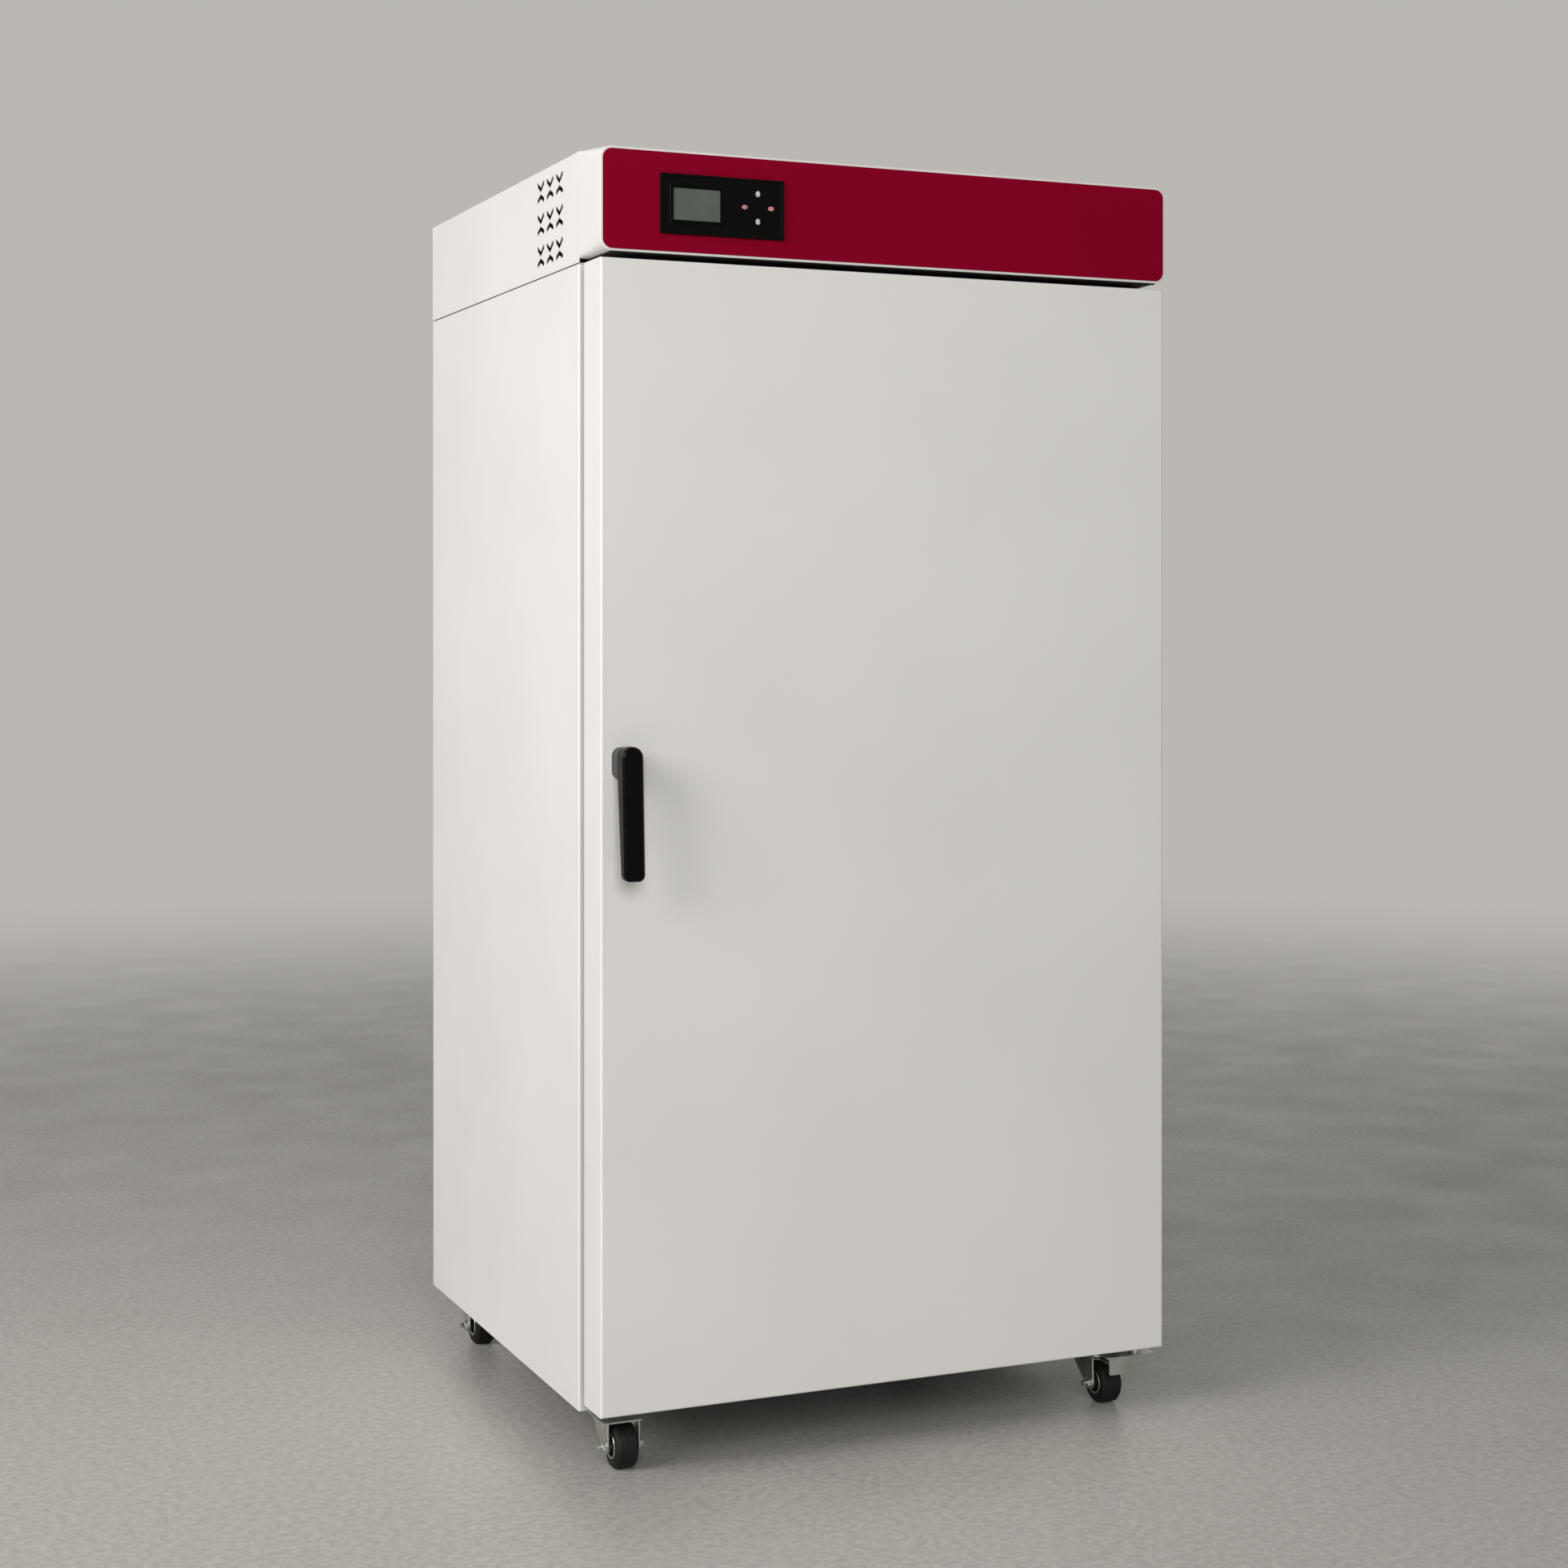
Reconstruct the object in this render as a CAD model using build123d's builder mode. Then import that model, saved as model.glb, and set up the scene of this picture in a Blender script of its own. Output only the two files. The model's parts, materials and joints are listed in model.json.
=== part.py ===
"""Tall hot-air sterilizer cabinet on four swivel casters, as an assembly of separate pieces.

Frame: millimetres, +Z up, the front faces -Y, +X is to the viewer's right.  The origin is on the
floor, at the centre of the whole object's width and depth.
"""

from build123d import *
from math import acos, atan2, cos, hypot, pi, radians, sin
import os

os.makedirs("parts", exist_ok=True)

# ---------------------------------------------------------------- driving dimensions
# Cabinet
cabinet_w = 808.0            # outside width of the cabinet
body_d = 684.5               # depth of the cabinet behind its front plane
body_h = 1452.0              # lower body, from its underside to the seam under the head
head_h = 141.0               # head above the seam
seam_gap = 2.0               # open joint between the side panels and the head
sheet = 1.5                  # painted outer sheet
bend_r = 2.5                 # outer radius of the sheet's folds
front_flange = 20.0          # side panels' folded edge at the front
rear_flange = 16.0           # side panels' folded edge at the rear
frame_t = 2.0                # front frame plate
tray_t = 2.0                 # base tray sheet
tray_wall = 30.0             # base tray's upturned walls

# Door
door_inset = 1.0             # door narrower than the cabinet, each side
door_t = 64.0                # door thickness
door_gap = 18.0              # door back to cabinet front
door_lift = 13.0             # cabinet underside to door bottom
skin = 1.2                   # door skin sheet
inner_t = 1.2                # door inner panel sheet
plug_d = 8.0                 # raised field of the inner panel
plug_gap = 3.0               # raised field to gasket
hinge_inset = 22.0           # hinge axis from the door's right edge
hinge_back = 27.0            # hinge axis from the door's back plane
pin_r = 5.0                  # hinge pin
run_gap = 0.05               # radial clearance of every running fit
bush_wall = 3.0              # hinge bush wall
bush_len = 20.0              # hinge bush length
bush_flange = 4.0            # hinge bush flange beyond its tube
part_gap = 0.3               # smallest gap between pieces that move past each other
hinge_plate_t = 2.5          # top hinge plate
hinge_plate_gap = 0.5        # top hinge plate to door top
pin_in_door = 18.0           # hinge pin inside the door
collar_wall = 4.0            # collar round the lower pin
hinge_leg = 40.0             # top hinge bracket's leg down the cabinet's front
plug_r = 8.0

# Chamber
side_wall = 84.0             # cabinet side to chamber
bottom_wall = 91.0           # cabinet underside to chamber floor
top_wall = 91.0              # chamber roof to the seam
back_space = 99.5            # liner's back to the rear panel
liner_t = 1.2                # stainless liner sheet
wool_t = 50.0                # insulation slabs round the liner
door_wool_t = 40.0           # insulation slab in the door
duct_d = 54.0                # air duct behind the baffle
baffle_gap = 1.0             # baffle to chamber walls
gasket_in = 4.0              # gasket's inner edge beyond the chamber opening
gasket_w = 22.0              # gasket width
gasket_r = 30.0              # gasket's outer corner radius
gasket_edge_r = 6.0

# Shelves
shelf_count = 4
shelf_front = 20.0           # front frame's back to a shelf's front edge
shelf_back = 26.0            # shelf's rear edge to the air baffle
shelf_bar = 8.0              # shelf edge bar, square
shelf_wire = 4.0             # shelf wires, square
shelf_wire_pitch = 24.0
shelf_side_gap = 1.5         # shelf to ladder upright
ladder_t = 8.0               # ladder upright, across the chamber
ladder_w = 16.0              # ladder upright, along the chamber
ladder_inset = 60.0          # ladder upright from the shelf's ends
runner_w = 14.0              # runner angle, both legs
runner_t = 1.5

# Head
shell_rise = 5.0             # head shell's underside above the seam
shell_drop = 6.5             # head shell's top, front edge below its back edge
shell_r = 15.0               # head shell's front corners
shell_back_r = 5.0           # head shell's back corners
shell_edge_r = 0.8           # head shell's front edge
fascia_t = 1.2
head_lead = 3.0              # crimson band's front ahead of the door's front
fascia_rim = 3.0             # white rim left round the fascia
panel_inset = 161.2          # display panel's centre from the cabinet's left side
panel_w = 167.5
panel_h = 75.0
panel_up = 62.5              # display panel's centre above the head shell's front underside
panel_proud = 3.5            # display panel stands out of the fascia
panel_rim = 3.0              # display panel's raised edge
panel_recess = 1.0
can_inset = 4.0              # display panel's housing inside its edge
can_d = 24.0                 # display panel's housing depth
can_wall = 2.0
cutout_gap = 0.5
screen_x = -35.2             # screen's centre from the display panel's centre
screen_w = 62.7
screen_h = 40.0
screen_t = 3.0
screen_frame = 4.4           # raised frame round the screen
button_x = 47.6              # button cross from the display panel's centre
button_y = 1.5
button_step_x = 18.0
button_step_y = 17.5
button_w = 7.6
button_h = 5.8
button_proud = 0.8
button_len = 6.0
button_gap = 0.25
button_travel = 0.7
button_flange = 1.0          # flange behind the panel, beyond the cap and thick
panel_corner = 2.0

# Vents in the head's sides: rows of V and inverted V slots
vent_columns = 3
vent_groups = 3
vent_pitch_y = 39.0
vent_pitch_z = 42.2
vent_front = 78.0            # first column behind the head's front
vent_down = 18.0             # first row of V slots below the head's top
vent_row_gap = 15.0          # V row to inverted V row
vent_half = 12.0             # half the width of a V, on its centre line
vent_rise = 8.0              # height of a V, on its centre line
vent_arch_rise = 5.5         # height of an inverted V, on its centre line
vent_stroke = 6.2

# Handle
handle_x_inset = 28.7        # handle's axis from the door's left edge
handle_up = 818.0            # handle's axis above the door bottom
boss_w = 29.0
boss_h = 40.0
boss_d = 20.0
boss_drop = 8.0              # boss centre below the handle's axis
boss_r = 11.0
boss_edge_r = 1.5
lever_w = 27.5
lever_len = 165.0
lever_t = 18.2               # lever thickness at its top
lever_end_t = 12.0           # lever thickness at its lower end
lever_lean = 7.5             # lower end stands further out
lever_corner = 8.0
lever_bevel = 2.6
spindle_r = 6.0
sleeve_wall = 2.0
tongue_t = 5.0
tongue_w = 14.0
tongue_corner = 2.0
tongue_len = 20.0
tongue_back = 8.0           # tongue's short end, behind the spindle
tongue_gap = 6.0             # tongue behind the door
keeper_w = 18.0
keeper_t = 2.5
keeper_lip = 11.5            # lip over the tongue, with the web
keeper_base = 20.0
keeper_gap = 2.0             # tongue's end to the keeper's web

# Fan, heater, exhaust, cable
fan_r = 110.0
fan_blades = 12
fan_w = 32.0
shaft_r = 6.0
motor_r = 46.0
motor_len = 40.0
sleeve_r = 30.0
heater_tube_r = 4.2
heater_ring_r = 132.0        # inner heater ring
heater_ring_gap = 18.0       # between the rings' centre lines
heater_gap_angle = 40.0
heater_leg = 30.0            # heater ends behind the liner
probe_r = 3.0
probe_reach = 70.0           # probe into the chamber
probe_inset = 140.0          # probe from the chamber's right wall
probe_down = 130.0
duct_r = 27.0                # exhaust duct from the chamber
exhaust_r = 25.0             # its narrowed end, for a hose
spigot_len = 18.0
exhaust_wall = 1.5
exhaust_up = 40.0            # exhaust stub above the head
exhaust_back = 105.0         # exhaust axis in front of the liner's back
damper_shaft_r = 2.5
gland_reach = 18.0           # cable gland behind the cabinet
gland_r = 10.0               # cable gland shank
gland_bore_r = 5.0
gland_inset = 104.0          # cable gland from the cabinet's left side
gland_up = 60.0

shaft_hole_gap = 4.0
motor_bore = 20.0
motor_edge = 4.0
sleeve_t = 2.4
fan_back_gap = 8.0           # impeller's back disc to the liner's back wall
fan_sheet = 2.0
fan_hub_r = 18.0
fan_root_r = 50.0            # blades' inner ends
fan_blade_angle = 25.0
intake_rings = 5             # rings of round holes in front of the fan
intake_pitch = 20.0
intake_hole_r = 6.5
outlet_inset = 60.0          # outlet slots from the chamber's sides
outlet_pitch = 105.0
outlet_rows = 11
outlet_len = 60.0
outlet_w = 10.0
standoff_r = 5.0
standoff_inset = 30.0
probe_hex_r = 7.0
rear_slot_count = 7
rear_slot_pitch = 10.0
rear_slot_len = 60.0
rear_slot_w = 4.0
knob_r = 7.0
knob_t = 6.0
damper_up = 14.0             # damper axis above the head
gland_hex_r = 14.0
gland_nut_t = 7.0
board_t = 1.6
board_inset = 324.0          # power board's middle from the cabinet's right side
board_w = 180.0
board_d = 120.0
board_back = 165.0           # power board's middle behind the body's front
post_r = 3.0
post_h = 10.0
post_inset = 8.0
relay_w = 22.0
relay_d = 16.0
relay_h = 18.0
power_inset = 144.0          # power supply's middle from the cabinet's right side
power_w = 90.0
power_d = 80.0
power_h = 70.0

# Casters
caster_h = 73.5              # floor to cabinet underside
wheel_r = 28.5
tyre_w = 30.0
hub_r = 17.0
hub_w = 38.0
caster_inset_x = 53.0        # swivel axis from the cabinet's side
caster_inset_front = 10.5     # swivel axis behind the cabinet's front
caster_inset_rear = 55.5     # swivel axis in front of the cabinet's rear
caster_trail = 22.0          # wheel axle ahead of the swivel axis
foot_t = 2.0                 # bracket plates under the tray
foot_reach = 60.0            # front brackets ahead of the cabinet front
foot_w = 74.0                # hinge side's front bracket, tongue width
foot_edge = 0.5              # hinge side's front bracket from the cabinet side
latch_foot_w = 54.0          # latch side's front bracket, tongue width
latch_foot_edge = 12.0       # latch side's front bracket from the cabinet side
latch_foot_cut = 11.0        # its outer corner, cut off
foot_pad = 76.0              # bracket plate over each caster
plate_w = 62.0               # caster top plate
plate_t = 2.5
race_r = 27.0
race_h = 3.0
crown_r = 31.0
crown_t = 2.5
kingpin_r = 5.0
kingpin_head_r = 8.0
kingpin_head_h = 2.6
leg_t = 2.5
leg_end_r = 10.0
leg_back = 37.0              # fork leg's top, behind the swivel axis
leg_front = 30.0             # fork leg's top, ahead of the swivel axis
leg_gap = 0.5                # hub to fork leg
axle_r = 3.5
axle_head_r = 6.0
axle_head_h = 5.0
pedal_w = 36.0
pedal_h = 23.0
pedal_t = 2.0
pedal_reach = 65.0           # pedal plate ahead of the swivel axis
pedal_pin_y = 24.5           # pedal pivot ahead of the swivel axis
pedal_pin_drop = 3.0         # pedal pivot below the crown
pedal_pin_r = 1.4
pedal_barrel_r = 2.5
pedal_arm_w = 20.0
pedal_shift = 3.0            # pedal plate's middle to the right of its arm's
axle_tip = 5.5              # bolt's end beyond its nut
hub_rim = 2.5
hub_boss_r = 8.0
hub_recess = 5.0
tyre_edge_r = 4.5
tyre_groove_x = 7.0
tyre_groove_w = 1.6
tyre_groove_d = 0.8
pedal_clear = 1.0            # pedal plate under the brackets
pedal_corner = 3.0
foot_r = 6.0

# Fasteners
screw_r = 2.0
screw_head_r = 4.0
screw_head_h = 1.8
screw_rows = 7
screw_end_gap = 30.0         # end screws from the tray, the seam and the head's top
screw_len = 8.0

# ---------------------------------------------------------------- derived places
half_w = cabinet_w / 2
handle_reach = boss_d + part_gap + lever_t + lever_lean
total_d = handle_reach + door_t + door_gap + body_d + gland_reach
door_front_y = -total_d / 2 + handle_reach
door_back_y = door_front_y + door_t
front_y = door_back_y + door_gap
rear_y = front_y + body_d
liner_front_y = front_y + frame_t
rear_panel_y = rear_y - 2 * sheet          # front face of the rear panel
liner_back_y = rear_panel_y - back_space
chamber_d = liner_back_y - liner_front_y
inside_w = 2 * (half_w - bend_r)           # pieces lodged between the folded walls

bottom_z = caster_h
seam_z = bottom_z + body_h
head_top_z = seam_z + head_h
shell_low_z = seam_z + shell_rise
shell_top_z = head_top_z - shell_drop
door_bottom_z = bottom_z + door_lift
door_top_z = seam_z - hinge_plate_t - hinge_plate_gap
door_h = door_top_z - door_bottom_z
door_mid_z = (door_top_z + door_bottom_z) / 2

door_w = cabinet_w - 2 * door_inset
hinge_x = door_w / 2 - hinge_inset
hinge_y = door_back_y - hinge_back
bush_r = pin_r + run_gap + bush_wall

chamber_w = cabinet_w - 2 * side_wall
chamber_low_z = bottom_z + bottom_wall
chamber_high_z = seam_z - top_wall
chamber_h = chamber_high_z - chamber_low_z
chamber_mid_z = (chamber_low_z + chamber_high_z) / 2
baffle_y = liner_back_y - duct_d
shelf_w = chamber_w - 2 * (ladder_t + shelf_side_gap)
shelf_pitch = chamber_h / (shelf_count + 1)
shelf_front_y = liner_front_y + shelf_front
shelf_d = baffle_y - shelf_back - shelf_front_y

fascia_front_y = door_front_y - head_lead
shell_front_y = fascia_front_y + fascia_t
shell_back_y = front_y
panel_x = panel_inset - half_w
panel_z = shell_low_z + panel_up
handle_x = -door_w / 2 + handle_x_inset
handle_z = door_bottom_z + handle_up
sleeve_tube_r = spindle_r + run_gap + sleeve_wall
tongue_y = door_back_y + tongue_gap
exhaust_y = liner_back_y - exhaust_back
gland_x = gland_inset - half_w
gland_z = seam_z + gland_up
probe_x = chamber_w / 2 - probe_inset
power_x = half_w - power_inset
board_x = half_w - board_inset
board_y = front_y + board_back

foot_low_z = bottom_z - foot_t
plate_low_z = foot_low_z - plate_t
race_low_z = plate_low_z - race_h
crown_top_z = race_low_z - part_gap
crown_low_z = crown_top_z - crown_t
pedal_pin_z = crown_low_z - pedal_pin_drop
leg_x = hub_w / 2 + leg_gap + leg_t / 2        # centre of a fork leg, from the wheel's middle

UP = (Align.CENTER, Align.CENTER, Align.MIN)
BACK_UP = (Align.CENTER, Align.MIN, Align.MIN)       # centred in x, grows back and up
BACK_MID = (Align.CENTER, Align.MIN, Align.CENTER)   # centred in x and z, grows back


def front_plane(y, x=0.0, z=0.0):
    """Sketch plane seen from the front: its x is X, its y is Z, and it extrudes towards -Y."""
    return Plane(origin=(x, y, z), x_dir=(1, 0, 0), z_dir=(0, -1, 0))


def save(builder, name):
    builder.part.label = name
    export_step(builder.part, f"parts/{name}.step")


# ---------------------------------------------------------------- fasteners' shared places
def screw_places():
    """Rear screws, as (x, z): a column down each rear flange, body and head."""
    column_x = half_w - rear_flange / 2
    low_z = bottom_z + tray_wall + screw_end_gap
    high_z = seam_z - screw_end_gap
    step = (high_z - low_z) / (screw_rows - 1)
    heights = [low_z + step * row for row in range(screw_rows)]
    heights += [seam_z + screw_end_gap, head_top_z - screw_end_gap]
    return [(side * column_x, z) for side in (-1, 1) for z in heights]


def screw_holes(depth_y, plane_y):
    """Cuts the rear screws' holes into the part being built, forwards from plane_y."""
    with BuildSketch(front_plane(plane_y)) as holes:
        with Locations(*screw_places()):
            Circle(screw_r)
    extrude(holes.sketch, amount=depth_y, mode=Mode.SUBTRACT)


# ---------------------------------------------------------------- outer body
def round_corners(places, radius):
    """Rounds the corner of the sketch being built that is nearest to each place."""
    for place in places:
        fillet(vertices().sort_by_distance(place)[0], radius)


def side_panel(side):
    """Folded side panel: a flat wall with an edge turned in at the front and at the rear."""
    outer_x = side * half_w
    inner_x = side * (half_w - sheet)
    with BuildPart() as panel:
        with BuildSketch(Plane.XY.offset(bottom_z)):
            with BuildLine():
                Polyline(
                    (side * (half_w - front_flange), front_y),
                    (outer_x, front_y),
                    (outer_x, rear_y),
                    (side * (half_w - rear_flange), rear_y),
                    (side * (half_w - rear_flange), rear_y - sheet),
                    (inner_x, rear_y - sheet),
                    (inner_x, front_y + sheet),
                    (side * (half_w - front_flange), front_y + sheet),
                    close=True,
                )
            make_face()
            round_corners([(outer_x, front_y), (outer_x, rear_y)], bend_r)
            round_corners([(inner_x, front_y + sheet), (inner_x, rear_y - sheet)], bend_r - sheet)
        extrude(amount=body_h - seam_gap)
        screw_holes(2 * sheet, rear_y + sheet / 2)
    return panel


left_side_panel = side_panel(-1)
save(left_side_panel, "left_side_panel")
right_side_panel = side_panel(1)
save(right_side_panel, "right_side_panel")

# Rear panel: one sheet up to the top of the head, behind the folded edges
rear_h = head_top_z - sheet - bottom_z
with BuildPart() as rear_panel:
    with BuildSketch(front_plane(rear_y - sheet)):
        with Locations((0, bottom_z + rear_h / 2)):
            Rectangle(inside_w, rear_h)
        with Locations((gland_x, gland_z)):
            Circle(gland_r, mode=Mode.SUBTRACT)
        with Locations((0, chamber_mid_z)):
            with GridLocations(rear_slot_pitch, 0, rear_slot_count, 1):
                SlotOverall(rear_slot_len, rear_slot_w, rotation=90, mode=Mode.SUBTRACT)
    extrude(amount=sheet)
    screw_holes(2 * sheet, rear_y)
save(rear_panel, "rear_panel")

# Base tray: open pan between the side panels, behind the front frame
tray_d = rear_panel_y - liner_front_y
with BuildPart() as base_tray:
    with Locations((0, liner_front_y, bottom_z)):
        Box(inside_w, tray_d, tray_wall, align=BACK_UP)
    with Locations((0, liner_front_y + tray_t, bottom_z + tray_t)):
        Box(inside_w - 2 * tray_t, tray_d - 2 * tray_t, tray_wall, align=BACK_UP, mode=Mode.SUBTRACT)
save(base_tray, "base_tray")

# Front frame: flat ring between the side panels' folded edges, open at the chamber
frame_high_z = seam_z - sheet
with BuildPart() as front_frame:
    with BuildSketch(front_plane(liner_front_y)):
        with Locations((0, (bottom_z + frame_high_z) / 2)):
            Rectangle(2 * (half_w - front_flange), frame_high_z - bottom_z)
        with Locations((0, chamber_mid_z)):
            Rectangle(chamber_w, chamber_h, mode=Mode.SUBTRACT)
    extrude(amount=frame_t)
save(front_frame, "front_frame")

# ---------------------------------------------------------------- chamber
with BuildPart() as chamber_liner:
    with BuildSketch(front_plane(liner_back_y)):
        with Locations((0, chamber_mid_z)):
            Rectangle(chamber_w + 2 * liner_t, chamber_h + 2 * liner_t)
            Rectangle(chamber_w, chamber_h, mode=Mode.SUBTRACT)
    extrude(amount=chamber_d)
    with Locations((0, exhaust_y, chamber_high_z)):
        Cylinder(duct_r, 4 * liner_t, mode=Mode.SUBTRACT)
save(chamber_liner, "chamber_liner")

heater_half_gap = radians(heater_gap_angle / 2)
heater_rings = (heater_ring_r, heater_ring_r + heater_ring_gap)
heater_legs = [
    (side * ring_r * sin(heater_half_gap), chamber_mid_z - ring_r * cos(heater_half_gap))
    for ring_r in heater_rings
    for side in (-1, 1)
]
probe_z = chamber_high_z - probe_down


def heater_and_probe_holes():
    """Cuts, in the sketch being built, where the heater's ends and the probe pass."""
    with Locations(*heater_legs):
        Circle(heater_tube_r, mode=Mode.SUBTRACT)
    with Locations((probe_x, probe_z)):
        Circle(probe_r, mode=Mode.SUBTRACT)


with BuildPart() as liner_back_wall:
    with BuildSketch(front_plane(liner_back_y + liner_t)):
        with Locations((0, chamber_mid_z)):
            Rectangle(chamber_w + 2 * liner_t, chamber_h + 2 * liner_t)
            Circle(shaft_r + shaft_hole_gap, mode=Mode.SUBTRACT)
        heater_and_probe_holes()
    extrude(amount=liner_t)
save(liner_back_wall, "liner_back_wall")

# Insulation: slabs on the liner's four sides and behind it
wool_back_y = liner_back_y + liner_t
motor_front_y = wool_back_y + wool_t
slab_w = chamber_w + 2 * liner_t
slab_h = chamber_h + 2 * liner_t
slab_d = chamber_d + liner_t
with BuildPart() as insulation_slabs:
    for side in (-1, 1):
        with Locations((side * (slab_w + wool_t) / 2, liner_front_y, chamber_mid_z)):
            Box(wool_t, slab_d, slab_h, align=BACK_MID)
        with Locations((0, liner_front_y, chamber_mid_z + side * (slab_h + wool_t) / 2)):
            Box(slab_w, slab_d, wool_t, align=BACK_MID)
    with BuildSketch(front_plane(motor_front_y)):
        with Locations((0, chamber_mid_z)):
            Rectangle(slab_w, slab_h)
            Circle(sleeve_r, mode=Mode.SUBTRACT)
        heater_and_probe_holes()
    extrude(amount=wool_t)
    with Locations((0, exhaust_y, chamber_high_z + wool_t / 2)):
        Cylinder(duct_r, 2 * wool_t, mode=Mode.SUBTRACT)
save(insulation_slabs, "insulation_slabs")

# Air baffle: pierced sheet in front of the fan, on four standoffs
with BuildPart() as air_baffle:
    with BuildSketch(front_plane(baffle_y)):
        with Locations((0, chamber_mid_z)):
            Rectangle(chamber_w - 2 * baffle_gap, chamber_h - 2 * baffle_gap)
            for ring in range(intake_rings):
                with PolarLocations(ring * intake_pitch, max(1, 6 * ring)):
                    Circle(intake_hole_r, mode=Mode.SUBTRACT)
            with GridLocations(chamber_w - 2 * outlet_inset, outlet_pitch, 2, outlet_rows):
                SlotOverall(outlet_len, outlet_w, rotation=90, mode=Mode.SUBTRACT)
        with Locations((probe_x, probe_z)):
            Circle(probe_r, mode=Mode.SUBTRACT)
    extrude(amount=liner_t)
    with BuildSketch(front_plane(liner_back_y)):
        with Locations((0, chamber_mid_z)):
            with GridLocations(chamber_w - 2 * standoff_inset, chamber_h - 2 * standoff_inset, 2, 2):
                Circle(standoff_r)
    extrude(amount=duct_d)
save(air_baffle, "air_baffle")

# Heating element: open rings round the fan, their ends led out through the back wall
heater_y = liner_back_y - duct_d / 2
heater_leg_d = motor_front_y + heater_leg - heater_y
with BuildPart() as heating_element:
    for ring_r in heater_rings:
        start_x = ring_r * sin(heater_half_gap)
        start_z = chamber_mid_z - ring_r * cos(heater_half_gap)
        tangent = (cos(heater_half_gap), 0, sin(heater_half_gap))
        with BuildSketch(Plane(origin=(start_x, heater_y, start_z), x_dir=(0, 1, 0), z_dir=tangent)):
            Circle(heater_tube_r)
        revolve(axis=Axis((0, heater_y, chamber_mid_z), (0, -1, 0)), revolution_arc=360 - heater_gap_angle)
    for x, z in heater_legs:
        with Locations((x, heater_y, z)):
            Sphere(heater_tube_r)
        with BuildSketch(front_plane(heater_y + heater_leg_d, x, z)):
            Circle(heater_tube_r)
        extrude(amount=heater_leg_d)
save(heating_element, "heating_element")

# Fan motor: body behind the insulation, on a sleeve from the back wall
bore_back_y = motor_front_y + motor_bore
with BuildPart() as fan_motor:
    with BuildSketch(front_plane(motor_front_y + motor_len, 0, chamber_mid_z)):
        Circle(motor_r)
    extrude(amount=motor_len)
    with BuildSketch(front_plane(motor_front_y, 0, chamber_mid_z)):
        Circle(sleeve_r)
        Circle(sleeve_r - sleeve_t, mode=Mode.SUBTRACT)
    extrude(amount=wool_t)
    with BuildSketch(front_plane(bore_back_y, 0, chamber_mid_z)):
        Circle(shaft_r + run_gap)
    extrude(amount=motor_bore, mode=Mode.SUBTRACT)
    chamfer(faces().sort_by(Axis.Y)[-1].edges(), motor_edge)
save(fan_motor, "fan_motor")

# Fan impeller: shaft, hub, back disc, slanted blades and a front ring
fan_back_y = liner_back_y - fan_back_gap
shaft_back_y = bore_back_y - part_gap
with BuildPart() as fan_impeller:
    with BuildSketch(front_plane(shaft_back_y, 0, chamber_mid_z)):
        Circle(shaft_r)
    extrude(amount=shaft_back_y - fan_back_y)
    with BuildSketch(front_plane(fan_back_y, 0, chamber_mid_z)):
        Circle(fan_r)
    extrude(amount=fan_sheet)
    with BuildSketch(front_plane(fan_back_y, 0, chamber_mid_z)):
        Circle(fan_hub_r)
        with PolarLocations((fan_r + fan_root_r) / 2, fan_blades):
            Rectangle(fan_r - fan_root_r - 2 * fan_sheet, fan_sheet, rotation=fan_blade_angle)
    extrude(amount=fan_w)
    with BuildSketch(front_plane(fan_back_y - fan_w + fan_sheet, 0, chamber_mid_z)):
        Circle(fan_r)
        Circle((fan_r + fan_root_r) / 2, mode=Mode.SUBTRACT)
    extrude(amount=fan_sheet)
save(fan_impeller, "fan_impeller")

# Temperature probe: rod through the back wall and the baffle, with a hexagon fitting in the duct
probe_front_y = baffle_y - probe_reach
with BuildPart() as temperature_probe:
    with BuildSketch(front_plane(motor_front_y, probe_x, probe_z)):
        Circle(probe_r)
    extrude(amount=motor_front_y - probe_front_y)
    with BuildSketch(front_plane(liner_back_y, probe_x, probe_z)):
        RegularPolygon(probe_hex_r, 6)
    extrude(amount=probe_hex_r)
save(temperature_probe, "temperature_probe")

# ---------------------------------------------------------------- shelves
shelf_heights = [chamber_low_z + shelf_pitch * number for number in range(1, shelf_count + 1)]
upright_ys = (shelf_front_y + ladder_inset, shelf_front_y + shelf_d - ladder_inset - ladder_w)
with BuildPart() as shelf_ladders:
    for side in (-1, 1):
        for y in upright_ys:
            with Locations((side * (chamber_w - ladder_t) / 2, y, chamber_low_z)):
                Box(ladder_t, ladder_w, chamber_h, align=BACK_UP)
        for shelf_z in shelf_heights:
            with Locations((side * (chamber_w / 2 - ladder_t - runner_w / 2), shelf_front_y, shelf_z - runner_t)):
                Box(runner_w, shelf_d, runner_t, align=BACK_UP)
            with Locations((side * (chamber_w / 2 - ladder_t - runner_t / 2), shelf_front_y, shelf_z - runner_w)):
                Box(runner_t, shelf_d, runner_w, align=BACK_UP)
save(shelf_ladders, "shelf_ladders")


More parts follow.
